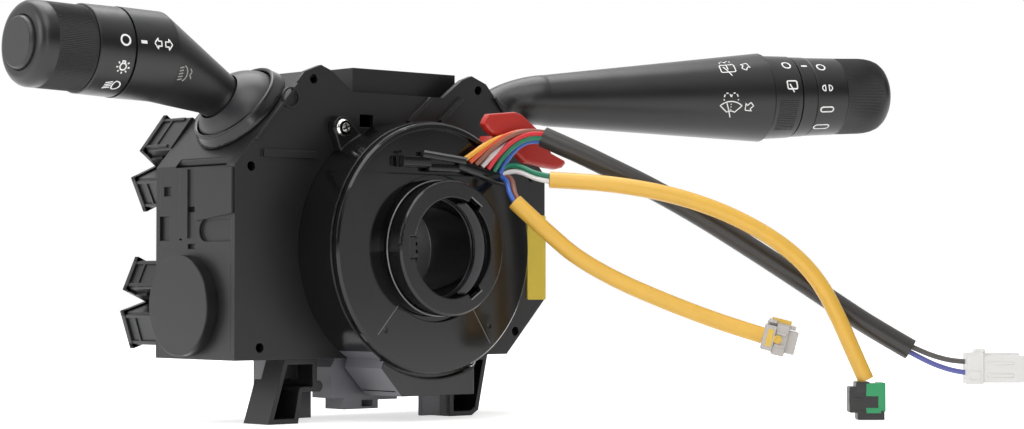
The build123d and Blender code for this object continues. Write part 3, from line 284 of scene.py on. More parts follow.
@dataclass(frozen=True)
class MouldedPlastic(Recipe):
    """ABS or nylon from a mould: an even colour, a fine spark-eroded grain and softened edges.

    The real grain is near 0.1 mm, too fine to show, so it is drawn as coarse as it needs to be.
    """

    roughness: float = 0.5
    grain_mm: float = 0.45
    grain_depth: float = 0.25
    edge_mm: float = 0.35
    mottle: float = 0.10
    specular: float = 0.5
    cloud_mm: float = 22.0

    def inputs(self, place: bpy.types.Node) -> dict:
        """The shader's inputs by name, on the object's own coordinates."""
        cloud = noise(place, self.cloud_mm, 3.0)
        grain = noise(place, self.grain_mm, 2.0)
        return {"Base Color": tinted(cloud, self.colour, self.mottle),
                "Roughness": remap(cloud, self.roughness - 0.05, self.roughness + 0.05),
                "Specular IOR Level": self.specular,
                "Normal": relief(grain, self.grain_depth, 0.06, self.edge_mm)}


@dataclass(frozen=True)
class PolishedPlastic(Recipe):
    """Acrylic-bright ABS from a polished mould: deep colour, clear reflections, faint waviness."""

    roughness: float = 0.08
    wave_mm: float = 9.0
    edge_mm: float = 0.3

    def inputs(self, place: bpy.types.Node) -> dict:
        """The shader's inputs by name, on the object's own coordinates."""
        wave = noise(place, self.wave_mm, 1.0)
        return {"Base Color": linear(self.colour),
                "Roughness": remap(wave, self.roughness, self.roughness + 0.06),
                "Normal": relief(wave, 0.05, 0.3, self.edge_mm)}


@dataclass(frozen=True)
class PlatedSteel(Recipe):
    """Zinc-plated or spring steel: a bright metal with fine turning marks."""

    roughness: float = 0.25
    mark_mm: float = 0.6

    def inputs(self, place: bpy.types.Node) -> dict:
        """The shader's inputs by name, on the object's own coordinates."""
        marks = noise(place, self.mark_mm, 3.0)
        return {"Base Color": linear(self.colour), "Metallic": 1.0,
                "Roughness": remap(marks, self.roughness - 0.08, self.roughness + 0.12)}


@dataclass(frozen=True)
class SoftVinyl(Recipe):
    """PVC sleeving or wire insulation: extruded, satin, with faint creases across its length. The same noise
    darkens the colour in the crease valleys and lightens it on the ridges: painted crease shade.
    """

    roughness: float = 0.38
    crease_mm: float = 5.0
    crease: float = 0.12
    # How far the colour darkens in the creases and lightens on the ridges: painted crease shade.
    shade: float = 0.12

    def inputs(self, place: bpy.types.Node) -> dict:
        """The shader's inputs by name, on the object's own coordinates."""
        crease = noise(place, self.crease_mm, 2.0)
        # The crease noise drives the bump and the tone together: painted crease shade.
        return {"Base Color": tinted(crease, self.colour, self.shade), "Roughness": self.roughness,
                "Normal": relief(crease, self.crease, 0.5)}


def insulation(name: str, colour: str, roughness: float = 0.3) -> SoftVinyl:
    """A wire's insulation, with creases and their painted shade too fine to see."""
    return SoftVinyl(name + " wire", colour, roughness, 3.0, 0.05, 0.05)


class Finish(Enum):
    """The named finishes of this object."""

    HOUSING = MouldedPlastic("glass filled nylon housing", "161617", 0.40, 0.5, 0.35, 0.5, 0.12)
    STALK = MouldedPlastic("grained abs stalk", "1e1e1f", 0.33, 0.38, 0.42, 0.4, 0.08)
    RING = MouldedPlastic("grained abs ring", "1c1c1d", 0.33, 0.35, 0.3, 0.4, 0.08)
    DOME = MouldedPlastic("satin acetal dome", "2b2b2d", 0.36, 0.8, 0.1, 0.3, 0.06)
    STATOR = PolishedPlastic("polished stator", "101011", 0.14, 9.0, 1.1)
    ROTOR = PolishedPlastic("polished rotor face", "101011", 0.07, 14.0, 0.5)
    HUB = PolishedPlastic("polished hub", "131314", 0.08, 9.0, 0.7)
    # A light grey on edges of the black hub and on the cover plate's top edge: painted highlight.
    TRIM = PolishedPlastic("painted highlight hub edge", "747476", 0.08, 6.0, 0.1)
    PLUG = MouldedPlastic("grey harness plug", "74747a", 0.38, 0.6, 0.15, 0.3, 0.08)
    SOCKET = MouldedPlastic("pale grey foot socket", "77777a", 0.4, 0.6, 0.15, 0.3, 0.08)
    COLLAR = PolishedPlastic("glossy throat collar", "19191a", 0.2, 9.0, 0.5)
    BOARD = MouldedPlastic("nylon contact board", "1a1a1b", 0.45, 0.5, 0.25, 0.3, 0.1)
    ACETAL = MouldedPlastic("natural acetal", "d4d1c6", 0.35, 1.0, 0.05, 0.2, 0.04)
    RED = PolishedPlastic("red transit lock", "b92a20", 0.27, 12.0, 0.4)
    LABEL = MouldedPlastic("yellow polyester film", "e2c744", 0.5, 1.2, 0.05, 0.1, 0.03)
    CLIP = PolishedPlastic("dark cover strip", "242426", 0.16, 8.0, 0.3)
    WHITE_NYLON = MouldedPlastic("white nylon", "e6e5e2", 0.34, 0.8, 0.05, 0.25, 0.02)
    GREY_NYLON = MouldedPlastic("light grey nylon", "bdb7b2", 0.36, 0.8, 0.05, 0.25, 0.04)
    YELLOW_NYLON = MouldedPlastic("yellow nylon latch", "e3bb4c", 0.36, 0.8, 0.05, 0.2, 0.04)
    GREEN_NYLON = MouldedPlastic("green nylon lock", "2f9a62", 0.34, 0.8, 0.05, 0.2, 0.05)
    BLACK_NYLON = MouldedPlastic("black nylon plug", "2a2a2a", 0.4, 0.6, 0.1, 0.25, 0.06)
    ZINC = PlatedSteel("zinc plated screw", "e4e4e2", 0.16)
    SPRING = PlatedSteel("drawn spring steel", "b4b4b6", 0.3)
    FILM = MouldedPlastic("flat cable film", "b59a6a", 0.3, 1.0, 0.05, 0.1, 0.04)
    INK = MouldedPlastic("pad printed white", "fbfbfa", 0.6, 0.6, 0.05, 0.1, 0.03)
    FADED_INK = MouldedPlastic("worn white print", "a8a8a6", 0.6, 0.6, 0.05, 0.1, 0.15)
    BLACK_SLEEVE = SoftVinyl("black vinyl sleeve", "34312f", 0.34, 7.0, 0.2, 0.10)
    YELLOW_SLEEVE = SoftVinyl("yellow vinyl sleeve", "eab84c", 0.3, 9.0, 0.12, 0.06)
    WIRE_YELLOW = insulation("yellow", "efac3c")
    WIRE_ORANGE = insulation("orange", "dc5a33")
    WIRE_BROWN = insulation("brown", "96604f")
    WIRE_PINK = insulation("pale", "ded0cf")
    WIRE_RED = insulation("red", "d8303a")
    WIRE_GREEN = insulation("green", "1d7c5d")
    WIRE_BLUE = insulation("blue", "3d66bd")
    WIRE_WHITE = insulation("white", "eceae8")
    WIRE_GREY = insulation("grey", "56524f", 0.35)
    WIRE_VIOLET = insulation("violet", "5f62a8")

    @property
    def material(self) -> bpy.types.Material:
        """The finish's material, built once."""
        return bpy.data.materials.get(self.value.name) or self.value.build()


# ---- piece making ----


def place_piece(mesh: bpy.types.Mesh, name: str, body: str, finishes: list[Finish],
                replaces: tuple[str, ...] = (), smooth_deg: float = 32.0) -> bpy.types.Object:
    """Makes an object from a finished mesh, dresses it and lets it ride.

    Args:
        mesh: The mesh, already at its place.
        name: The piece's name.
        body: The body that it moves with.
        finishes: The finishes, in the order of the mesh's material indices.
        replaces: The solids that it stands for.
        smooth_deg: Edges sharper than this stay sharp.

    Returns:
        The object.
    """
    piece = add_object(name, mesh)
    for finish in finishes:
        mesh.materials.append(finish.material)
    mesh.shade_smooth()
    mesh.set_sharp_from_angle(angle=math.radians(smooth_deg))
    weigh = piece.modifiers.new("flats_stay_flat", "WEIGHTED_NORMAL")
    weigh.keep_sharp = True
    weigh.weight = 50
    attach(piece, body)
    if replaces:
        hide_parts(*replaces)
    LOG.info("%s: %d faces on %s", name, len(mesh.polygons), body)
    return piece


def dress_solid(frame: dict, node: str, finish: Finish, smooth_deg: float = 28.0) -> bpy.types.Object:
    """Stands a smooth-shaded copy of a solid in its place.

    Args:
        frame: The loaded frame.
        node: The solid's name.
        finish: Its finish.
        smooth_deg: Edges sharper than this stay sharp.

    Returns:
        The copy.
    """
    source = frame["nodes"][node]
    mesh = source.data.copy()
    mesh.materials.clear()
    if "custom_normal" in mesh.attributes:
        mesh.attributes.remove(mesh.attributes["custom_normal"])
    form = bmesh.new()
    form.from_mesh(mesh)
    bmesh.ops.remove_doubles(form, verts=form.verts, dist=WELD)
    bmesh.ops.dissolve_degenerate(form, edges=form.edges, dist=SLIVER)
    form.to_mesh(mesh)
    form.free()
    return place_piece(mesh, node + "_skin", source["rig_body"], [finish], (node,), smooth_deg)


@dataclass(frozen=True)
class AxisPlace:
    """A straight axis with two square directions: front, towards the driver, and top."""

    origin: Vector
    along: Vector

    @property
    def front(self) -> Vector:
        """The level direction square to the axis, towards the driver."""
        side = self.along.cross(UP).normalized()
        return side if side.y < 0 else -side

    @property
    def top(self) -> Vector:
        """The upward direction square to the axis."""
        return (UP - self.along * UP.dot(self.along)).normalized()

    @property
    def matrix(self) -> Matrix:
        """The transform that takes local x to front, y to top and z along the axis."""
        spin = Matrix((self.front, self.top, self.front.cross(self.top))).transposed().to_4x4()
        return Matrix.Translation(self.origin) @ spin

    @property
    def handed(self) -> float:
        """One where local z runs along the axis, minus one where it runs against it."""
        return 1.0 if self.front.cross(self.top).dot(self.along) > 0 else -1.0


def lathe(name: str, place: AxisPlace, rings: list[tuple[float, float, float]], segments: int
          ) -> bpy.types.Mesh:
    """Stacks rings into a closed turned form, with optional fine ribs.

    Args:
        name: The mesh's name.
        place: The axis.
        rings: Height, radius and rib depth of each ring in millimetres.
        segments: Points round each ring; every second one sinks by the rib depth.

    Returns:
        The mesh at its place.
    """
    form = bmesh.new()
    bmesh.ops.create_circle(form, segments=segments, radius=1.0, cap_ends=False)
    edges = list(form.edges)
    first = list(edges)
    verts = list(form.verts)
    for index, (height, radius, depth) in enumerate(rings):
        if index:
            grown = bmesh.ops.extrude_edge_only(form, edges=edges)["geom"]
            edges = [g for g in grown if isinstance(g, bmesh.types.BMEdge)]
            verts = [g for g in grown if isinstance(g, bmesh.types.BMVert)]
            edges = [e for e in edges if e.verts[0] in set(verts) and e.verts[1] in set(verts)]
        for vert in verts:
            turn = math.atan2(vert.co.y, vert.co.x)
            step = round(turn / (2 * math.pi) * segments) % 2
            size = (radius - depth * step) * MM
            vert.co = Vector((math.cos(turn) * size, math.sin(turn) * size,
                              height * MM * place.handed))
    bmesh.ops.bridge_loops(form, edges=first + edges)
    form.transform(place.matrix)
    bmesh.ops.recalc_face_normals(form, faces=form.faces)
    return mesh_of(form, name)


@dataclass
class BlockBuilder:
    """Gathers bevelled blocks and rods in one local frame, for connectors and clips."""

    origin: Vector
    ahead: Vector
    across: Vector
    form: bmesh.types.BMesh = field(default_factory=bmesh.new)

    def block(self, low: Point, high: Point, bevel: float = 0.3, index: int = 0) -> None:
        """Adds a block between two corners in millimetres.

        Args:
            low: The lowest corner: ahead, across, up.
            high: The highest corner.
            bevel: The edge rounding.
            index: The material index.
        """
        size = Vector(high) - Vector(low)
        middle = (Vector(high) + Vector(low)) / 2
        seat = Matrix.Translation(middle) @ Matrix.Diagonal((*size, 1.0))
        made = bmesh.ops.create_cube(self.form, size=1.0, matrix=seat)
        faces = {f for v in made["verts"] for f in v.link_faces}
        for face in faces:
            face.material_index = index
        edges = list({e for v in made["verts"] for e in v.link_edges})
        bmesh.ops.bevel(self.form, geom=edges, offset=min(bevel, min(size) * 0.3), segments=2,
                        profile=0.5, affect="EDGES", material=-1)

    def rod(self, start: Point, end: Point, radius: float, index: int = 0, inner: float = 0.0) -> None:
        """Adds a round rod, or a short tube where inner is given.

        Args:
            start: The centre of one end, in millimetres.
            end: The centre of the other end.
            radius: The outer radius.
            index: The material index.
            inner: The bore's radius.
        """
        axis = Vector(end) - Vector(start)
        turn = axis.to_track_quat("Z", "Y").to_matrix().to_4x4()
        seat = Matrix.Translation((Vector(start) + Vector(end)) / 2) @ turn
        made = bmesh.ops.create_cone(self.form, cap_ends=True, segments=ROD_SIDES, radius1=radius,
                                     radius2=radius, depth=axis.length, matrix=seat)
        faces = list({f for v in made["verts"] for f in v.link_faces})
        for face in faces:
            face.material_index = index
        if inner:
            caps = [f for f in faces if len(f.verts) > 4]
            bmesh.ops.inset_individual(self.form, faces=caps, thickness=radius - inner, depth=0.0)
            bmesh.ops.inset_individual(self.form, faces=caps, thickness=0.05,
                                       depth=-min(3.0, axis.length / 3))

    def piece(self, name: str, body: str, slot: str, finishes: list[Finish],
              replaces: tuple[str, ...] = ()) -> bpy.types.Object:
        """Turns what was gathered into a dressed piece at its place.

        Args:
            name: The piece's name.
            body: The body that it moves with.
            slot: The record's material slot; not used.
            finishes: The finishes, in the order of the material indices.
            replaces: The solids that it stands for.

        Returns:
            The piece.
        """
        up = self.ahead.cross(self.across).normalized()
        spin = Matrix((self.ahead, self.across, up)).transposed().to_4x4()
        self.form.transform(Matrix.Translation(self.origin) @ spin @ Matrix.Scale(MM, 4))
        return place_piece(mesh_of(self.form, name), name, body, finishes, replaces)


# ---- studio ----


@dataclass
class Studio:
    """Camera, pale floor, soft lamps and a white surround."""

    eye: Point = (-0.6323, -0.8161, -0.0141)
    look: Point = (0.6728, 0.7393, 0.0283)
    right: Point = (0.7396, -0.6730, 0.0)
    focal_px: float = 2450.0
    frame_px: float = 1024.0
    sensor_mm: float = 36.0
    floor_radius: float = 6.0
    floor_glow: float = 0.62
    diffuse_light: float = 0.38

    def camera(self) -> bpy.types.Object:
        """Places the camera at the photograph's viewpoint.

        Returns:
            The camera.
        """
        data = bpy.data.cameras.new("studio_camera")
        data.sensor_width = self.sensor_mm
        data.lens = self.focal_px * self.sensor_mm / self.frame_px
        data.clip_start, data.clip_end = 0.05, 40.0
        camera = add_object("studio_camera", data)
        ahead = Vector(self.look).normalized()
        right = (Vector(self.right) - ahead * ahead.dot(Vector(self.right))).normalized()
        up = right.cross(ahead)
        turn = Matrix((right, up, -ahead)).transposed().to_4x4()
        camera.matrix_world = Matrix.Translation(Vector(self.eye)) @ turn
        bpy.context.scene.camera = camera
        return camera

    def floor(self, level: float) -> bpy.types.Object:
        """Lays a pale floor that keeps the object's shadow.

        Args:
            level: The floor's height in metres.

        Returns:
            The floor.
        """
        form = bmesh.new()
        bmesh.ops.create_circle(form, cap_ends=True, segments=96, radius=self.floor_radius)
        form.transform(Matrix.Translation((0.0, 0.0, level)))
        mesh = mesh_of(form, "studio_floor")
        floor = add_object("studio_floor", mesh)
        material, shader, _ = fresh_material("pale paper sweep")
        tree = material.node_tree
        feed(shader, {"Base Color": linear("f4f4f4"), "Roughness": 0.9})
        glow = add_node(tree, "ShaderNodeEmission", {"Strength": self.floor_glow})
        path = add_node(tree, "ShaderNodeLightPath")
        both = add_node(tree, "ShaderNodeAddShader", {}, {0: shader.outputs[0], 1: glow.outputs[0]})
        lift = add_node(tree, "ShaderNodeMixShader", {}, {
            0: larger(path.outputs["Is Camera Ray"], path.outputs["Is Glossy Ray"]),
            1: shader.outputs[0], 2: both.outputs[0]})
        tree.links.new(lift.outputs[0], tree.nodes["Material Output"].inputs["Surface"])
        mesh.materials.append(material)
        floor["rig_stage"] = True
        return floor

    def surround(self) -> None:
        """Sets a surround that is white to the camera and dimmer from the driver's side."""
        world = bpy.data.worlds.new("white surround")
        bpy.context.scene.world = world
        world.use_nodes = True
        tree = world.node_tree
        place = add_node(tree, "ShaderNodeTexCoord")
        split = add_node(tree, "ShaderNodeSeparateXYZ", {}, {0: place.outputs["Generated"]})
        depth = remap(split.outputs["Y"], 0.10, 1.0, -0.35, 0.55)
        height = remap(split.outputs["Z"], 0.0, 0.9, 0.25, 0.8)
        low = remap(split.outputs["Z"], 0.8, 0.0, 0.050, 0.058)
        path = add_node(tree, "ShaderNodeLightPath")
        glossy = add_node(tree, "ShaderNodeMix", {2: self.diffuse_light}, {
            0: path.outputs["Is Glossy Ray"], 3: larger(larger(depth, height), low)})
        seen = add_node(tree, "ShaderNodeMix", {3: 1.0}, {
            0: path.outputs["Is Camera Ray"], 2: glossy.outputs[0]})
        feed(tree.nodes["Background"], {"Color": (1.0, 1.0, 1.0, 1.0), "Strength": seen.outputs[0]})

    def light(self) -> None:
        """Hangs soft oblong lamps that face the object: three boxes and a tall edge strip."""
        for name, spot, size, watts in (
                ("overhead_box", (0.1, 0.35, 1.25), (1.1, 1.1), 14.0),
                ("left_box", (-1.3, 0.25, 0.5), (0.7, 0.7), 5.0),
                ("front_box", (-0.55, -0.65, 1.25), (0.9, 0.9), 6.0),
                ("edge_strip", (-0.78, -0.98, 0.15), (0.03, 1.7), 2.8)):
            data = bpy.data.lights.new(name, "AREA")
            data.shape = "RECTANGLE"
            data.size, data.size_y = size
            data.energy = watts
            lamp = add_object(name, data)
            lamp.location = spot
            lamp.rotation_euler = (-Vector(spot)).to_track_quat("-Z", "Y").to_euler()


# ---- leads ----


def lead_curve(name: str, routes: list[list[Point]], diameter: float, finishes: list[Finish]) -> bpy.types.Object:
    """Makes a lead or a group of wires as smooth curves that ride on the rotor.

    Args:
        name: The piece's name.
        routes: One list of control points in metres for each wire.
        diameter: The diameter in metres.
        finishes: One finish for each wire.

    Returns:
        The curve object.
    """
    curve = bpy.data.curves.new(name, "CURVE")
    curve.dimensions = "3D"
    curve.bevel_depth = diameter / 2
    curve.bevel_resolution = 6
    curve.use_fill_caps = True
    for finish in finishes:
        curve.materials.append(finish.material)
    for index, route in enumerate(routes):
        spline = curve.splines.new("NURBS")
        spline.points.add(len(route) - 1)
        for knot, point in zip(spline.points, route):
            knot.co = (*point, 1.0)
        spline.order_u = 3
        spline.use_endpoint_u = True
        spline.resolution_u = 10
        spline.material_index = index
    piece = add_object(name, curve)
    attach(piece, "rotor")
    LOG.info("%s: %d runs on rotor", name, len(routes))
    return piece


@dataclass(frozen=True)
class Connector:
    """One connector: its seat, what it stands for, and its blocks and rods in millimetres."""

    name: str
    origin: Point
    heading: Point
    slot: str
    finishes: tuple[Finish, ...]
    replaces: tuple[str, ...]
    blocks: tuple[tuple, ...]
    rods: tuple[tuple, ...] = ()
    droop_deg: float = 0.0

    def build(self) -> bpy.types.Object:
        """Builds the connector.

        Returns:
            The connector.
        """
        droop = math.radians(self.droop_deg)
        level = Vector(self.heading).normalized() * math.cos(droop)
        ahead = Vector((level.x, level.y, -math.sin(droop)))
        maker = BlockBuilder(Vector(self.origin), ahead, UP.cross(ahead).normalized())
        for block in self.blocks:
            maker.block(*block)
        for rod in self.rods:
            maker.rod(*rod)
        return maker.piece(self.name, "rotor", self.slot, list(self.finishes), self.replaces)


@dataclass
class Leads:
    """Three sleeved leads from the rotor's outlet, with their wires and connectors."""

    wire_diameter: float = 0.0021
    bundle_pitch: float = 2.3
    row_step: Point = (3.33, 0.0, -0.77)
    black_diameter: float = 0.0085
    yellow_diameter: float = 0.0066
    sleeve_wall: float = 0.55
    black_sleeve: list[Point] = field(default_factory=lambda: [
        (0.0492, -0.0860, 0.0459), (0.0584, -0.0964, 0.0397), (0.0669, -0.1057, 0.0335),
        (0.0796, -0.1184, 0.0247), (0.0941, -0.1320, 0.0134), (0.1085, -0.1455, 0.0009),
        (0.1225, -0.1599, -0.0123), (0.1328, -0.1711, -0.0226), (0.1418, -0.1812, -0.0316),
        (0.1523, -0.1927, -0.0406)])
    upper_yellow: list[Point] = field(default_factory=lambda: [
        (0.0414, -0.0984, 0.0277), (0.0495, -0.1063, 0.0271), (0.0596, -0.1160, 0.0259),
        (0.0716, -0.1273, 0.0233), (0.0827, -0.1377, 0.0194), (0.0938, -0.1481, 0.0137),
        (0.1053, -0.1587, 0.0054), (0.1141, -0.1668, -0.0037), (0.1205, -0.1728, -0.0141),
        (0.1255, -0.1773, -0.0269), (0.1297, -0.1811, -0.0401), (0.1338, -0.1848, -0.0525)])
    lower_yellow: list[Point] = field(default_factory=lambda: [
        (0.0298, -0.0903, 0.0188), (0.0340, -0.0957, 0.0124), (0.0385, -0.1015, 0.0057),
        (0.0458, -0.1095, -0.0037), (0.0562, -0.1205, -0.0123), (0.0669, -0.1318, -0.0192),
        (0.0772, -0.1428, -0.0252), (0.0874, -0.1538, -0.0306), (0.0962, -0.1635, -0.0346)])
    black_wires: list[Point] = field(default_factory=lambda: [
        (0.0226, -0.0785, 0.0330), (0.0249, -0.0796, 0.0360), (0.0292, -0.0808, 0.0402),
        (0.0341, -0.0820, 0.0436), (0.0394, -0.0834, 0.0457), (0.0446, -0.0850, 0.0463),
        (0.0503, -0.0871, 0.0453)])
    upper_wires: list[Point] = field(default_factory=lambda: [
        (0.0334, -0.0786, 0.0315), (0.0356, -0.0815, 0.0330), (0.0367, -0.0870, 0.0321),
        (0.0380, -0.0915, 0.0300), (0.0393, -0.0955, 0.0287), (0.0436, -0.1007, 0.0276)])
    lower_wires: list[Point] = field(default_factory=lambda: [
        (0.0334, -0.0786, 0.0296), (0.0345, -0.0818, 0.0282), (0.0322, -0.0852, 0.0247),
        (0.0303, -0.0884, 0.0213), (0.0308, -0.0919, 0.0169)])
    plug_wires: list[Point] = field(default_factory=lambda: [
        (0.1510, -0.1913, -0.0395), (0.1554, -0.1962, -0.0429), (0.1600, -0.2011, -0.0456),
        (0.1646, -0.2059, -0.0473), (0.1686, -0.2095, -0.0477)])

    def spread(self, route: list[Point], first: list[Point], last: list[Point]) -> list[list[Point]]:
        """Fans several wires from a row at the start to a bundle at the end.

        Args:
            route: The group's middle line.
            first: Offset of each wire at the start, in millimetres.
            last: Offset of each wire at the end.

        Returns:
            One list of control points for each wire.
        """
        steps = len(route) - 1
        return [[tuple(Vector(point) + Vector(start).lerp(Vector(end), index / steps) * MM)
                 for index, point in enumerate(route)]
                for start, end in zip(first, last)]

    def build(self) -> None:
        row = [tuple(side * k for side in self.row_step) for k in range(-3, 4)]
        gap = self.bundle_pitch
        bundle = [(x * gap, y * gap, z * gap) for x, y, z in (
            (0.3, 0.95, 0.15), (0.2, 0.45, 0.85), (0.1, -0.1, 0.95), (0.2, 0.75, -0.65),
            (-0.3, -0.75, 0.5), (-0.35, -0.85, -0.3), (-0.2, -0.1, -0.9))]
        groups = (
            ("black_lead_wires", self.spread(self.black_wires, row, bundle),
             [Finish.WIRE_YELLOW, Finish.WIRE_ORANGE, Finish.WIRE_BROWN, Finish.WIRE_PINK,
              Finish.WIRE_RED, Finish.WIRE_GREEN, Finish.WIRE_BLUE]),
            ("upper_lead_wires", self.spread(self.upper_wires, [(-0.4, 0.0, 1.2), (0.4, 0.0, -1.2)],
                                             [(0.0, 0.3, 1.1), (0.0, -0.3, -1.1)]),
             [Finish.WIRE_GREEN, Finish.WIRE_WHITE]),
            ("lower_lead_wires", self.spread(self.lower_wires, [(-1.5, 0.0, 0.0), (1.2, 0.0, 0.6)],
                                             [(-1.1, 0.3, 0.2), (1.1, -0.3, 0.2)]),
             [Finish.WIRE_BLUE, Finish.WIRE_BROWN]),
            ("white_connector_wires", self.spread(self.plug_wires, [(0.0, 0.0, 1.2), (0.0, 0.0, -1.2)],
                                                  [(0.0, 0.0, 2.3), (0.0, 0.0, -2.3)]),
             [Finish.WIRE_GREY, Finish.WIRE_VIOLET]),
        )
        wires = {}
        for node, routes, finishes in groups:
            piece = lead_curve(node + "_runs", routes, self.wire_diameter, finishes)
            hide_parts(node)
            wires[node] = piece
        white, latch, floor_plug = [connector.build() for connector in self.connectors()]
        sleeves = (
            ("black_sleeve", self.black_sleeve, self.black_diameter, Finish.BLACK_SLEEVE,
             "sleeve_black", 0.172, [wires["black_lead_wires"], wires["white_connector_wires"], white]),
            ("upper_yellow_sleeve", self.upper_yellow, self.yellow_diameter, Finish.YELLOW_SLEEVE,
             "sleeve_yellow", 0.1626, [wires["upper_lead_wires"], floor_plug]),
            ("lower_yellow_sleeve", self.lower_yellow, self.yellow_diameter, Finish.YELLOW_SLEEVE,
             "sleeve_yellow", 0.1139, [wires["lower_lead_wires"], latch]),
        )
        for node, route, diameter, finish, slot, length, riders in sleeves:
            piece = lead_curve(node + "_run", [route], diameter, [finish])
            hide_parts(node)
            # Each sleeve's end gets a dark disc: painted shade of its hollow.
            riders.append(self.end_shade_disc(node + "_mouth", route, diameter, slot))

    def end_shade_disc(self, name: str, route: list[Point], diameter: float, slot: str) -> bpy.types.Object:
        """Builds a dark disc in the open end of a sleeve, where its wires come out: painted shade of the sleeve's
        hollow.

        Args:
            name: The piece's name.
            route: The sleeve's points.
            diameter: The sleeve's diameter in metres.
            slot: The record's material slot.

        Returns:
            The mouth.
        """
        outward = (Vector(route[0]) - Vector(route[1])).normalized()
        maker = BlockBuilder(Vector(route[0]), outward, UP.cross(outward).normalized())
        # A black disc inside the sleeve's wall at its end: painted shade.
        maker.rod((-0.6, 0.0, 0.0), (0.2, 0.0, 0.0), diameter / MM / 2 - self.sleeve_wall)
        return maker.piece(name, "rotor", slot, [Finish.BLACK_NYLON])

    def connectors(self) -> tuple[Connector, ...]:
        """Lists the two-way white plug, the grey plug with its sliding latch, and the plug on the floor.

        Returns:
            The three connectors.
        """
        return (
            Connector("white_connector_body", (0.1672, -0.2083, -0.0480), (17.6, -16.0, 0.0),
                      "nylon_white", (Finish.WHITE_NYLON,), ("white_connector",), (
                          ((0.0, -4.5, -6.4), (7.0, 4.5, 6.4), 0.5),
                          ((6.6, -3.9, -5.8), (23.5, 3.9, 5.2), 0.6),
                          ((7.0, -2.2, 5.0), (21.5, 2.2, 6.2), 0.4),
                          ((3.5, -2.2, 6.2), (8.0, 2.2, 7.8), 0.4),
                          ((8.5, -4.3, -3.4), (19.0, -3.7, -2.2), 0.2),
                          ((8.5, -4.3, 1.6), (19.0, -3.7, 2.6), 0.2),
                          ((1.0, -4.9, -4.6), (5.6, -4.4, -1.0), 0.2))),
            Connector("latch_connector_body", self.lower_yellow[-1], (0.673, -0.740, 0.0), "plug_grey",
                      (Finish.GREY_NYLON, Finish.YELLOW_NYLON), ("latch_connector", "connector_latch"), (
                          ((0.0, -6.4, -5.2), (4.6, 6.4, 5.0), 0.5),
                          ((4.4, -5.4, -6.2), (9.6, 5.4, 6.2), 0.5),
                          ((9.4, -4.2, -4.6), (13.4, 4.2, 4.6), 0.5),
                          ((0.6, -3.4, 5.0), (12.0, 3.4, 6.6), 0.3),
                          ((1.0, -6.3, 6.0), (4.2, 6.3, 7.4), 0.3),
                          ((2.0, -2.2, 6.4), (9.8, 2.2, 8.2), 0.3, 1),
                          ((1.4, -6.49, -3.6), (3.8, -5.6, 3.4), 0.2, 1),
                          ((4.8, -5.9, -3.0), (9.0, -5.2, -1.8), 0.2),
                          ((4.8, -5.9, 1.8), (9.0, -5.2, 3.0), 0.2)),
                      (((5.8, -6.4, 0.0), (5.8, -5.2, 0.0), 1.7, 1, 1.1),), 14.0),
            Connector("floor_connector_body", self.upper_yellow[-1], (17.6, -16.0, 0.0), "board_black",
                      (Finish.BLACK_NYLON, Finish.GREEN_NYLON),
                      ("floor_connector", "floor_connector_lock"), (
                          ((-7.2, -4.6, -13.0), (2.0, 4.6, -2.6), 0.6),
                          ((-4.6, -4.9, -5.0), (1.0, 4.2, -0.6), 0.5),
                          ((-7.3, -3.4, -9.6), (-6.6, 3.4, -4.0), 0.3),
                          ((-4.0, -4.9, -15.8), (6.8, 3.8, -11.6), 0.5),
                          ((1.6, -4.6, -12.0), (4.4, 4.4, -1.4), 0.4),
                          ((4.2, -4.9, -12.6), (7.2, 4.9, -1.0), 0.4, 1),
                          ((-0.6, -4.95, -6.4), (4.6, -4.2, -1.2), 0.3, 1),
                          ((-0.6, -4.95, -13.2), (5.4, -4.2, -11.0), 0.3, 1),
                          ((-7.3, -4.95, -8.2), (-2.0, -4.3, -6.8), 0.2))))


# ---- printed signs ----


def arc(cx: float, cy: float, radius: float, start: float, end: float, steps: int = 14,
        squash: float = 1.0) -> Stroke:
    """Points along an arc in degrees, for a sign's stroke."""
    turns = [math.radians(start + (end - start) * i / steps) for i in range(steps + 1)]
    return [(cx + radius * math.cos(t), cy + radius * squash * math.sin(t)) for t in turns]


def fine(stroke: Stroke, step: float = 0.5) -> Stroke:
    """A stroke with points close enough together to bend round a stalk."""
    points = [stroke[0]]
    for start, end in zip(stroke, stroke[1:]):
        count = max(1, math.ceil(math.dist(start, end) / step))
        points += [(start[0] + (end[0] - start[0]) * k / count,
                    start[1] + (end[1] - start[1]) * k / count) for k in range(1, count + 1)]
    return points


def ring(radius: float) -> list[Stroke]:
    """The off mark: one circle."""
    return [arc(0, 0, radius, 0, 360, 28)]


def slot_outline(width: float, height: float) -> list[Stroke]:
    """A long slot outline with round ends."""
    half, r = width / 2 - height / 2, height / 2
    return [arc(half, 0, r, -90, 90, 8) + arc(-half, 0, r, 90, 270, 8) + [(half, -r)]]


def hollow_arrow(length: float, height: float, turn: float = 0.0) -> list[Stroke]:
    """An outlined arrow that points along +x, turned by degrees."""
    shape = [(length / 2, 0), (0, height / 2), (0, height / 4.4), (-length / 2, height / 4.4),
             (-length / 2, -height / 4.4), (0, -height / 4.4), (0, -height / 2), (length / 2, 0)]
    c, s = math.cos(math.radians(turn)), math.sin(math.radians(turn))
    return [[(x * c - y * s, x * s + y * c) for x, y in shape]]


def side_lamp() -> list[Stroke]:
    """The lamp sign: a bulb with rays."""
    strokes = [arc(0, -0.3, 1.35, 0, 360, 20), [(-0.55, 1.0), (-0.55, 1.9), (0.55, 1.9), (0.55, 1.0)]]
    for k in range(7):
        t = math.radians(-90 + (k - 3) * 42)
        strokes.append([(2.1 * math.cos(t), -0.3 + 2.1 * math.sin(t)),
                        (2.9 * math.cos(t), -0.3 + 2.9 * math.sin(t))])
    return strokes


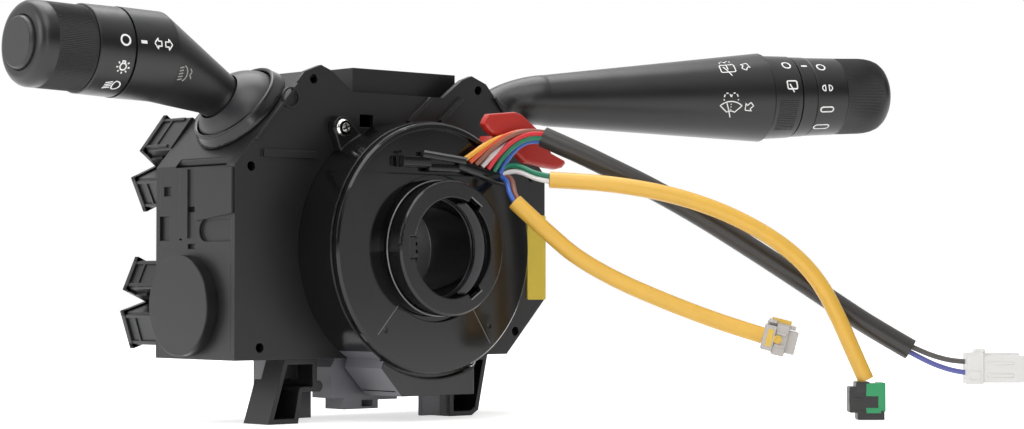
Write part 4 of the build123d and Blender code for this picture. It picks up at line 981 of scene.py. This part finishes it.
def head_lamp() -> list[Stroke]:
    """The dipped beam sign: a lamp outline with slanted rays."""
    lens = [(0.4, -2.2)] + arc(0.6, 0, 2.2, -90, 90, 10, 1.0)[1:] + [(0.4, 2.2)]
    back = arc(0.6, 0, 1.1, 110, 250, 6, 2.0)
    strokes = [lens + back]
    for y in (-1.6, -0.55, 0.5, 1.55):
        strokes.append([(-1.0, y + 0.3), (-3.8, y - 0.6)])
    return strokes


def fog_lamp() -> list[Stroke]:
    """The fog lamp sign: a lamp outline, level rays and a wavy line."""
    strokes = [arc(-1.6, 0, 3.2, -62, 62, 10, 1.1)]
    for y in (-2.4, -1.2, 0.0, 1.2, 2.4):
        strokes.append([(-2.6, y - 0.3), (-0.6, y + 0.1)])
    strokes.append([(3.4 + 0.4 * math.sin(y * 2.4), y)
                    for y in (-2.2, -1.6, -1.0, -0.4, 0.2, 0.8, 1.4, 2.0)])
    return strokes


def drops(cx: float, cy: float, size: float) -> list[Stroke]:
    """A fountain: two small dashed arches side by side."""
    strokes = []
    for hand in (-1, 1):
        middle = cx + hand * size
        strokes += [arc(middle, cy, size * 0.94, start, start - 36, 4, 1.4) for start in (170, 110, 50)]
        strokes.append([(middle + hand * size, cy - 0.6), (middle + hand * size, cy - 1.2)])
    return strokes


def front_washer() -> list[Stroke]:
    """The front washer sign: a curved screen, its wiper and a fountain."""
    screen = arc(0, -5.0, 7.6, 132, 48, 10) + arc(0, -5.0, 3.2, 55, 125, 6)
    screen.append(screen[0])
    dashes = [[(0, 1.5 - 1.2 * k), (0, 1.1 - 1.2 * k)] for k in range(3)]
    return [screen, [(0.2, -4.9), (-2.0, 1.8)]] + dashes + drops(0, 4.2, 1.65)


def rear_washer() -> list[Stroke]:
    """The rear washer sign: a rounded screen, its wiper and a fountain."""
    screen = [(-3.4, -2.4), (-3.4, 1.6), (-2.9, 2.1), (2.9, 2.1), (3.4, 1.6), (3.4, -2.0),
              (2.9, -2.5), (-2.9, -2.5), (-3.4, -2.0)]
    return [screen, [(1.0, -4.6), (-1.8, 0.9)], [(0, 2.1), (0, -1.0)]] + drops(0, 3.3, 1.3)


def rear_wiper() -> list[Stroke]:
    """The rear wiper sign: a rounded screen with its wiper."""
    screen = [(-2.4, -1.2), (-2.4, 1.5), (-2.0, 2.0), (2.0, 2.0), (2.4, 1.5), (2.4, -1.2),
              (2.0, -1.7), (-2.0, -1.7), (-2.4, -1.2)]
    return [screen, [(0.6, -3.2), (-1.2, 0.6)]]


def twin_sweep() -> list[Stroke]:
    """The interval mark: two half rounds back to back."""
    left = arc(-0.9, 0, 1.6, 90, 270, 8, 0.85)
    right = arc(0.9, 0, 1.6, 90, -90, 8, 0.85)
    return [left + [left[0]], right + [right[0]]]


@dataclass(frozen=True)
class Sign:
    """One printed sign: its solid and body, its strokes in millimetres and its place on the stalk.

    It lies so far along the axis from the first seam, and turned so far in degrees above the front.
    """

    name: str
    node: str
    body: str
    strokes: list[Stroke]
    along: float
    turn: float
    width: float = 0.5
    finish: Finish = Finish.INK
    height: float = 0.16


@dataclass
class StalkPrinter:
    """Lays signs on a stalk by casting each point down onto the solid under it."""

    place: AxisPlace
    reading: float
    radius: float
    cast_mm: float = 60.0

    def lay(self, frame: dict, mark: Sign) -> bpy.types.Object:
        """Builds one sign as a thin raised print.

        Args:
            frame: The loaded frame.
            mark: The sign.

        Returns:
            The printed piece.
        """
        curve = bpy.data.curves.new(mark.name + "_line", "CURVE")
        curve.dimensions = "3D"
        curve.bevel_depth = mark.width / 2
        curve.bevel_resolution = 1
        curve.use_fill_caps = True
        for line in mark.strokes:
            stroke = fine(line)
            spline = curve.splines.new("POLY")
            closed = len(stroke) > 3 and stroke[0] == stroke[-1]
            points = stroke[:-1] if closed else stroke
            spline.points.add(len(points) - 1)
            for knot, (x, y) in zip(spline.points, points):
                knot.co = (x, y, 0.0, 1.0)
            spline.use_cyclic_u = closed
        holder = add_object(mark.name + "_line", curve)
        bpy.context.view_layer.update()
        shaped = holder.evaluated_get(bpy.context.evaluated_depsgraph_get())
        mesh = bpy.data.meshes.new_from_object(shaped)
        bpy.data.objects.remove(holder)
        bpy.data.curves.remove(curve)
        source = frame["nodes"][mark.node].data
        skin = BVHTree.FromPolygons([v.co for v in source.vertices],
                                    [tuple(p.vertices) for p in source.polygons])
        for vert in mesh.vertices:
            reach = mark.along + self.reading * vert.co.x
            turn = math.radians(mark.turn) + vert.co.y / self.radius
            lift = mark.height * (0.5 + 0.5 * vert.co.z / (mark.width / 2))
            out = self.place.front * math.cos(turn) + self.place.top * math.sin(turn)
            base = self.place.origin + self.place.along * reach * MM
            found = (skin.ray_cast(base + out * self.cast_mm * MM, -out)[0]
                     or base + out * self.radius * MM)
            vert.co = found + out * lift * MM
        mesh.name = mark.name
        return place_piece(mesh, mark.name, mark.body, [mark.finish], (), 60.0)


# ---- sub-assemblies ----


@dataclass
class Stalk:
    """What both stalks share. Each one adds its axis (place), its grip's rings and its marks."""

    hand: str
    reading: float
    print_radius: float
    solids: tuple[tuple[str, Finish], ...]
    ribs: int

    def build(self, frame: dict) -> None:
        """Dresses the solids, turns the grip and prints the signs.

        Args:
            frame: The loaded frame.
        """
        for node, finish in self.solids:
            dress_solid(frame, node, finish)
        name = self.hand + "_grip_ribbed"
        mesh = lathe(name, self.place, self.rings(), self.ribs * 2)
        place_piece(mesh, name, self.hand + "_knob", [Finish.RING], (self.hand + "_grip",),
                    40.0)
        printer = StalkPrinter(self.place, self.reading, self.print_radius)
        for mark in self.marks():
            printer.lay(frame, mark)


@dataclass
class LampStalk(Stalk):
    """The left stalk: grained body, printed band, finely ribbed grip and end button."""

    hand: str = "lamp"
    reading: float = -1.0
    print_radius: float = 17.3
    solids: tuple[tuple[str, Finish], ...] = (
        ("lamp_stalk_body", Finish.STALK), ("lamp_band", Finish.RING),
        ("lamp_end_button", Finish.DOME), ("lamp_dome", Finish.DOME))
    ribs: int = 150
    seam: Point = (-0.1214, -0.030, 0.0736)
    rise_deg: float = 1.6
    band_mm: float = 15.8
    grip_mm: float = 24.2
    grip_radius: float = 16.3
    bore: float = 12.05
    button_hole: float = 10.25

    @property
    def place(self) -> AxisPlace:
        """The barrel's axis."""
        rise = math.radians(self.rise_deg)
        return AxisPlace(Vector(self.seam), Vector((-math.cos(rise), 0.0, math.sin(rise))))

    def rings(self) -> list[Point]:
        """The grip's rings: fine axial ribs and a rounded end."""
        z0, z1, r = self.band_mm, self.band_mm + self.grip_mm, self.grip_radius
        return [(z0, self.bore, 0), (z0, r - 0.4, 0), (z0 + 0.3, r, 0.0), (z0 + 0.8, r, 0.28),
                (z1 - 7.4, r, 0.28), (z1 - 6.8, r, 0.0), (z1 - 4.2, r, 0), (z1 - 2.9, r - 0.25, 0),
                (z1 - 1.7, r - 0.9, 0), (z1 - 0.8, r - 1.8, 0), (z1 - 0.2, r - 3.0, 0),
                (z1, r - 4.2, 0), (z1 - 0.1, self.button_hole + 0.3, 0),
                (z1 - 0.5, self.button_hole, 0), (z1 - 2.5, self.button_hole, 0),
                (z1 - 2.5, self.bore, 0)]

    def marks(self) -> tuple[Sign, ...]:
        """The signs on the body and the band."""
        body, band = ("lamp_stalk_body", "lamp_stalk"), ("lamp_band", "lamp_knob")
        return (
            Sign("lamp_off_mark", *band, ring(1.95), 5.2, 9.8, 0.8),
            Sign("side_lamp_mark", *band, side_lamp(), 5.3, -23.1, 0.62),
            Sign("head_lamp_mark", *band, head_lamp(), 6.0, -53.0, 0.62),
            Sign("lamp_index_mark", *body, [[(-1.3, 0), (1.3, 0)]], -2.8, 9.5, 1.25),
            Sign("left_arrow_mark", *body, hollow_arrow(3.1, 4.2, 180), -9.1, 9.6, 0.55),
            Sign("right_arrow_mark", *body, hollow_arrow(3.1, 4.2), -13.9, 9.4, 0.55),
            Sign("fog_lamp_mark", *body, fog_lamp(), -22.4, -25.0, 0.55, Finish.FADED_INK))


@dataclass
class WiperStalk(Stalk):
    """The right stalk: long cone, rear-wiper ring, marker ring, printed band and ribbed grip."""

    hand: str = "wiper"
    reading: float = 1.0
    print_radius: float = 18.6
    solids: tuple[tuple[str, Finish], ...] = (
        ("wiper_stalk_body", Finish.STALK), ("rear_wiper_ring", Finish.RING),
        ("wiper_marker_ring", Finish.RING), ("wiper_band", Finish.RING), ("wiper_dome", Finish.DOME))
    ribs: int = 156
    base: Point = (0.070, -0.030, 0.0645)
    sweep_deg: float = 22.0
    rise_deg: float = 2.24
    seam_mm: float = 127.3
    grip_start: float = 37.4
    grip_mm: float = 26.0
    grip_radius: float = 17.2
    bore: float = 12.05

    @property
    def place(self) -> AxisPlace:
        """The cone's axis, from the first seam."""
        sweep, rise = math.radians(self.sweep_deg), math.radians(self.rise_deg)
        along = Vector((math.cos(rise) * math.cos(sweep), -math.cos(rise) * math.sin(sweep),
                        math.sin(rise)))
        return AxisPlace(Vector(self.base) + along * self.seam_mm * MM, along)

    def rings(self) -> list[Point]:
        """The grip's rings: fine axial ribs and a domed end."""
        z0, z1, r = self.grip_start, self.grip_start + self.grip_mm, self.grip_radius
        return [(z0, self.bore, 0), (z0, r - 0.4, 0), (z0 + 0.3, r, 0.0), (z0 + 0.8, r, 0.26),
                (z1 - 12.5, r - 0.1, 0.26), (z1 - 10.0, r - 0.3, 0.24), (z1 - 7.4, r - 0.8, 0.2),
                (z1 - 5.0, r - 1.7, 0.14), (z1 - 3.2, r - 3.1, 0.08), (z1 - 1.8, r - 5.0, 0.0),
                (z1 - 0.8, r - 7.4, 0), (z1 - 0.2, r - 11.0, 0), (z1, 0.4, 0), (z1 - 1.0, 0.3, 0),
                (z1 - 3.0, 0.4, 0), (z1 - 3.0, self.bore, 0)]

    def marks(self) -> tuple[Sign, ...]:
        """The signs, and the thumb ribs moulded on the ring."""
        body, turner = ("wiper_stalk_body", "wiper_stalk"), ("rear_wiper_ring", "rear_wiper_ring")
        marker, band = ("wiper_marker_ring", "wiper_stalk"), ("wiper_band", "wiper_knob")
        thumb = [[(-4.6, -7.5 + 0.94 * k), (4.6, -7.5 + 0.94 * k)] for k in range(17)]
        return (
            Sign("rear_washer_mark", *body, rear_washer(), -20.0, 43.0, 0.55),
            Sign("rear_washer_arrow", *body, hollow_arrow(4.2, 4.6, 60), -11.4, 44.0),
            Sign("front_washer_mark", *body, front_washer(), -20.9, -16.5, 0.55),
            Sign("front_washer_arrow", *body, hollow_arrow(4.2, 4.4, -140), -12.6, -16.5),
            Sign("rear_off_mark", *turner, ring(1.9), 9.2, 46.5, 0.75),
            Sign("rear_wiper_mark", *turner, rear_wiper(), 9.3, 13.0, 0.7),
            Sign("thumb_ribs", *turner, thumb, 7.4, -32.0, 0.42, Finish.RING, 0.14),
            Sign("wiper_index_mark", *marker, [[(-1.4, 0), (1.4, 0)]], 18.2, 46.3, 1.1),
            Sign("wiper_off_mark", *band, ring(1.9), 26.6, 45.2, 0.75),
            Sign("interval_mark", *band, twin_sweep(), 27.0, 9.0, 0.6),
            Sign("slow_mark", *band, slot_outline(6.4, 2.3), 27.0, -22.6, 0.72),
            Sign("fast_mark", *band, slot_outline(7.4, 2.8), 26.6, -53.5, 0.72))


@dataclass
class Cassette:
    """The clock spring: stator, rotor face, hub, cover strip, transit lock and screws."""

    ears: tuple[tuple[float, float], ...] = ((-31.5, 47.5), (34.0, -45.0))
    seat_mm: float = 57.0
    head_radius: float = 3.6
    head_height: float = 2.2
    shroud_top: float = -41.0
    face_mm: float = 77.0
    cover_tilt: float = 5.4
    flag_back: float = 76.4
    flag_thick: float = 3.0
    tongue_deg: float = 52.0
    # Half the span in degrees of the light grey arc inside the bore: painted highlight.
    highlight_arc_deg: float = 58.0
    flag: tuple[tuple[float, float], ...] = (
        (23.3, 50.4), (24.1, 52.4), (26.0, 54.6), (40.5, 56.1), (44.4, 55.2), (52.8, 49.6), (57.3, 45.2),
        (60.7, 40.0), (68.0, 37.3), (68.8, 35.9), (66.8, 34.0), (62.9, 33.2), (55.4, 34.1), (45.4, 35.5),
        (39.3, 39.8), (36.7, 42.0), (32.3, 44.9), (27.9, 46.3), (25.2, 48.0))
    # Radial seams of the face, drawn in light grey: real seams in a painted highlight colour.
    seams: tuple[tuple[tuple[float, float], tuple[float, float]], ...] = (
        ((-20.0, -22.8), (-30.0, -33.9)), ((19.1, -24.2), (28.3, -38.0)))
    rim_bevel: float = 1.3
    # Length, width and height of each dark bar of the cross: painted recess shade.
    recess_shade: Point = (3.6, 0.7, 0.2)
    # Light grey lines along the hub's notch edges: painted highlight.
    notch_edge_highlights: tuple[tuple[float, float, float, float], ...] = (
        (9.6, 20.4, 15.2, 16.7), (9.6, -20.4, 15.2, -16.7))

    def build(self, frame: dict) -> None:
        """Dresses the cassette and adds its screws.

        Args:
            frame: The loaded frame.
        """
        for node, finish in (("stator_housing", Finish.STATOR), ("rotor_disc", Finish.ROTOR),
                             ("rotor_hub", Finish.HUB), ("hub_latch", Finish.BOARD),
                             ("cancel_cam", Finish.BOARD), ("ribbon_coil", Finish.FILM)):
            dressed = dress_solid(frame, node, finish)
            if node == "stator_housing":
                self.shroud_side_painted_light(dressed.data)
        self.outlet()
        self.transit_lock()
        self.hub_painted_highlights()
        self.screws()

    def shroud_side_painted_light(self, mesh: bpy.types.Mesh) -> None:
        """Paints the low left-facing faces of the black harness shroud in the harness plug's grey: painted light
        on the side that faces the left lamp.

        Args:
            mesh: The stator's mesh.
        """
        mesh.materials.append(Finish.PLUG.material)
        for face in mesh.polygons:
            low = face.center.z < self.shroud_top * MM and face.center.y < -self.seat_mm * MM
            # Left-facing faces only get the lighter grey: painted light.
            if low and face.normal.x < -0.3:
                face.material_index = 1

    def outlet(self) -> None:
        """Builds the outlet on the rotor's face: a block, its cover plate with a light grey bar along its top
        edge as a painted highlight, and the lip under the wires.
        """
        back = -self.face_mm * MM
        maker = BlockBuilder(Vector((0.0, back, 0.0)), Vector((1, 0, 0)), REAR)
        maker.block((-19.5, -3.0, 32.2), (-5.0, 0.4, 36.2), 0.5)
        maker.block((-5.6, -2.2, 30.4), (10.6, 0.4, 33.4), 0.6)
        maker.piece("outlet_block", "rotor", "board_black", [Finish.HUB])
        tilt = math.radians(self.cover_tilt)
        ahead = Vector((math.cos(tilt), 0.0, -math.sin(tilt)))
        maker = BlockBuilder(Vector((0.0, back, 0.037)), ahead, REAR)
        maker.block((-9.8, -3.6, -2.2), (13.0, -1.2, 0.4), 0.5)
        # A light grey bar along the plate's top edge: painted highlight.
        maker.block((-9.6, -4.0, -0.2), (13.0, -3.4, 0.6), 0.2, 1)
        maker.block((-9.4, -2.6, -2.0), (12.4, 0.4, -0.2), 0.3)
        maker.piece("outlet_cover_plate", "rotor", "clip_light", [Finish.CLIP, Finish.TRIM],
                    ("outlet_cover",))
        maker = BlockBuilder(Vector((0.0223, back, 0.0330)), Vector((20.0, 0.0, -4.6)).normalized(), REAR)
        maker.block((-12.6, -2.9, -4.4), (13.6, 0.4, -0.3), 0.9)
        maker.piece("outlet_lip", "rotor", "board_black", [Finish.HUB])

    def transit_lock(self) -> None:
        """Builds the red lock: a flat flag with a chamfered rim, a short stem and the tongue."""
        form = bmesh.new()
        rim = [form.verts.new((x * MM, -self.flag_back * MM, z * MM)) for x, z in self.flag]
        face = bmesh.ops.contextual_create(form, geom=rim)["faces"][0]
        grown = bmesh.ops.extrude_face_region(form, geom=[face], use_keep_orig=True)["geom"]
        front = [g for g in grown if isinstance(g, bmesh.types.BMVert)]
        bmesh.ops.translate(form, verts=front, vec=(0.0, -self.flag_thick * MM, 0.0))
        edges = [g for g in grown if isinstance(g, bmesh.types.BMEdge)]
        bmesh.ops.bevel(form, geom=edges, offset=self.rim_bevel * MM, segments=2, profile=0.5, affect="EDGES",
                        material=-1)
        bmesh.ops.recalc_face_normals(form, faces=form.faces)
        place_piece(mesh_of(form, "transit_lock_flag"), "transit_lock_flag", "transit_lock",
                    [Finish.RED], ("transit_lock",), 20.0)
        maker = BlockBuilder(Vector((0.044, -0.0706, 0.0465)), Vector((0.842, 0.0, -0.539)), REAR)
        maker.block((-8.0, -7.0, -3.2), (9.0, 0.0, 3.2), 0.6)
        maker.piece("transit_lock_stem", "transit_lock", "lock_red", [Finish.RED])
        turn = math.radians(self.tongue_deg)
        ahead = Vector((math.cos(turn), 0.0, math.sin(turn)))
        maker = BlockBuilder(Vector((0.0, -0.0672, 0.0)), ahead, REAR)
        maker.block((46.0, -8.2, -3.6), (56.0, 0.0, 3.6), 0.4)
        maker.piece("transit_lock_tongue", "transit_lock", "lock_red", [Finish.RED])

    def hub_painted_highlights(self) -> None:
        """Builds a bead round the hub's root, an arc inside its bore on the right, the radial seams of the face
        and rods along the notch edges, all in a light grey: painted highlight on the black hub.
        """
        place = AxisPlace(Vector((0.0, -self.face_mm * MM, 0.0)), DRIVER)
        # A light grey bead round the hub's root: painted highlight.
        bead = [(1.2, 26.6, 0), (1.4, 27.0, 0), (1.65, 27.15, 0), (1.9, 27.0, 0), (2.1, 26.6, 0)]
        mesh = lathe("hub_root_highlight_bead", place, bead, BEAD_SIDES)
        place_piece(mesh, "hub_root_highlight_bead", "rotor", [Finish.TRIM], (), 60.0)
        # A light grey arc inside the bore on the right side only: painted highlight.
        form = bmesh.new()
        profile = [(-0.6, 20.7), (4.3, 20.7), (4.6, 20.9), (4.6, 21.3), (4.3, 21.5), (-0.6, 21.5)]
        turn = math.radians(-self.highlight_arc_deg)
        wall = [form.verts.new((r * math.cos(turn) * MM, -(self.face_mm + h) * MM,
                                r * math.sin(turn) * MM)) for h, r in profile]
        bmesh.ops.contextual_create(form, geom=wall)
        bmesh.ops.spin(form, geom=list(form.verts) + list(form.edges) + list(form.faces), cent=(0, 0, 0),
                       axis=(0, -1, 0), angle=math.radians(2 * self.highlight_arc_deg), steps=48,
                       use_merge=False, use_duplicate=False)
        bmesh.ops.recalc_face_normals(form, faces=form.faces)
        place_piece(mesh_of(form, "hub_inner_highlight_arc"), "hub_inner_highlight_arc", "rotor",
                    [Finish.TRIM], (), 50.0)
        # Seams and notch edge lines in light grey: painted highlight.
        maker = BlockBuilder(Vector((0.0, -self.face_mm * MM, 0.0)), Vector((1, 0, 0)), REAR)
        for (x0, z0), (x1, z1) in self.seams:
            maker.rod((x0, 0.05, z0), (x1, 0.05, z1), 0.16)
        for x0, z0, x1, z1 in self.notch_edge_highlights:
            maker.rod((x0, -9.9, z0), (x1, -9.9, z1), 0.3)
        maker.piece("rotor_face_seams_and_highlights", "rotor", "gloss_black", [Finish.TRIM])

    def screws(self) -> None:
        """Builds pan heads on the stator's ears, each with a dark cross laid on its top: painted shade of the
        cross recess.
        """
        form = bmesh.new()
        upright = DRIVER.to_track_quat("Z", "Y").to_matrix().to_4x4()
        r, top = self.head_radius, self.head_height
        profile = [(0.0, r), (0.5, r), (1.2, r * 0.88), (1.6, r * 0.68), (top, r * 0.4)]
        for x, z in self.ears:
            seat = Vector((x * MM, -self.seat_mm * MM, z * MM))
            for low, high in zip(profile, profile[1:]):
                middle = seat + DRIVER * (low[0] + high[0]) / 2 * MM
                bmesh.ops.create_cone(form, cap_ends=high[0] == top, segments=SCREW_SIDES,
                                      radius1=low[1] * MM, radius2=high[1] * MM,
                                      depth=(high[0] - low[0]) * MM,
                                      matrix=Matrix.Translation(middle) @ upright)
            # Two thin dark bars in the board's black, laid over the head: painted shade where the cross recess
            # is.
            for angle in (25, 115):
                slot = Matrix.Translation(seat + DRIVER * (top - 0.05) * MM) @ upright @ \
                    Matrix.Rotation(math.radians(angle), 4, "Z") @ \
                    Matrix.Diagonal((*(side * MM for side in self.recess_shade), 1.0))
                made = bmesh.ops.create_cube(form, size=1.0, matrix=slot)
                for face in {f for v in made["verts"] for f in v.link_faces}:
                    face.material_index = 1
        bmesh.ops.remove_doubles(form, verts=form.verts, dist=1e-6)
        place_piece(mesh_of(form, "stator_screw_heads"), "stator_screw_heads", "housing",
                    [Finish.ZINC, Finish.BOARD], ("stator_screws",))


@dataclass
class Housing:
    """The housing, its switch cases, collars, boards, sockets, cap, plugs and inner mechanism."""

    dressed: tuple[tuple[str, Finish], ...] = (
        ("main_housing", Finish.HOUSING), ("right_leg", Finish.HOUSING),
        ("rear_foot_socket", Finish.SOCKET), ("lamp_switch_case", Finish.HOUSING),
        ("wiper_switch_case", Finish.HOUSING), ("lamp_throat_collar", Finish.COLLAR),
        ("wiper_throat_collar", Finish.COLLAR), ("blank_cap", Finish.HOUSING),
        ("lamp_contact_board", Finish.BOARD), ("wiper_contact_board", Finish.BOARD),
        ("upper_rear_socket", Finish.BOARD), ("lower_rear_socket", Finish.BOARD),
        ("stator_harness_plug", Finish.PLUG), ("side_harness_plug", Finish.PLUG),
        ("label_plate", Finish.LABEL), ("lamp_yoke", Finish.ACETAL), ("wiper_yoke", Finish.ACETAL),
        ("lamp_carrier", Finish.ACETAL), ("wiper_carrier", Finish.ACETAL),
        ("lamp_lever_core", Finish.ACETAL), ("wiper_lever_core", Finish.ACETAL),
        ("lamp_plunger", Finish.ACETAL), ("wiper_plunger", Finish.ACETAL),
        ("lamp_plunger_spring", Finish.SPRING), ("wiper_plunger_spring", Finish.SPRING),
        ("lamp_pull_pin", Finish.SPRING), ("wiper_pull_pin", Finish.SPRING))

    shells: tuple[tuple[float, ...], ...] = (
        (-64.5, 43.0, -38.0, 12.0, 17.0, 20.0), (-68.5, 25.0, 24.0, 12.0, 13.0, 23.0),
        (-71.0, -12.6, -24.0, 12.0, 12.6, 25.0), (-69.5, -30.2, 18.0, 14.0, 14.0, 28.0))

    def build(self, frame: dict) -> None:
        """Dresses the housing's solids and adds the rims of the rear sockets.

        Args:
            frame: The loaded frame.
        """
        for node, finish in self.dressed:
            dress_solid(frame, node, finish)
        for index, shell in enumerate(self.shells):
            self.socket_rim(f"rear_socket_rim_{index + 1}", *shell)

    def socket_rim(self, name: str, x: float, z: float, tilt: float, width: float, height: float,
                   depth: float) -> None:
        """Builds the raised rim, the ribs and the latch bar of one rear socket shell.

        Args:
            name: The piece's name.
            x: The shell's centre, in millimetres as all that follows.
            z: The shell's centre height.
            tilt: Its turn, in degrees.
            width: Its width.
            height: Its height.
            depth: Its reach to the rear.
        """
        turn = math.radians(tilt)
        maker = BlockBuilder(Vector((x, 0.0, z)) * MM, REAR, Vector((math.cos(turn), 0.0, math.sin(turn))))
        w, h, wall, proud = width / 2, height / 2, 1.4, 1.1
        for side in (-1, 1):
            low, high = sorted((side * (w - wall), side * (w + proud)))
            maker.block((depth - 2.6, low, -h - proud), (depth, high, h + proud), 0.3)
            low, high = sorted((side * (h - wall), side * (h + proud)))
            maker.block((depth - 2.6, -w - proud, low), (depth, w + proud, high), 0.3)
            low, high = sorted((side * (h - 2.2), side * (h - 0.8)))
            maker.block((3.0, -w - 0.7, low), (depth - 2.0, -w + 0.4, high), 0.2)
        maker.block((depth - 9.0, -w - 0.6, -h + 1.0), (depth - 7.6, -w + 0.4, h - 1.0), 0.2)
        maker.block((depth - 11.0, -2.4, h - 0.6), (depth - 3.4, 2.4, h + 1.4), 0.3)
        maker.piece(name, "housing", "board_black", [Finish.BOARD])


def main() -> None:
    """Loads the frame and builds the studio, the leads and each sub-assembly in order."""
    logging.basicConfig(level=logging.INFO, format="%(message)s")
    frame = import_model()
    cad_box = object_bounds()
    bpy.context.scene.view_settings.view_transform = "Standard"
    studio = Studio()
    studio.camera()
    Leads().build()
    Housing().build(frame)
    Cassette().build(frame)
    LampStalk().build(frame)
    WiperStalk().build(frame)
    studio.floor(cad_box[0].z)
    studio.surround()
    studio.light()


if __name__ == "__main__":
    main()
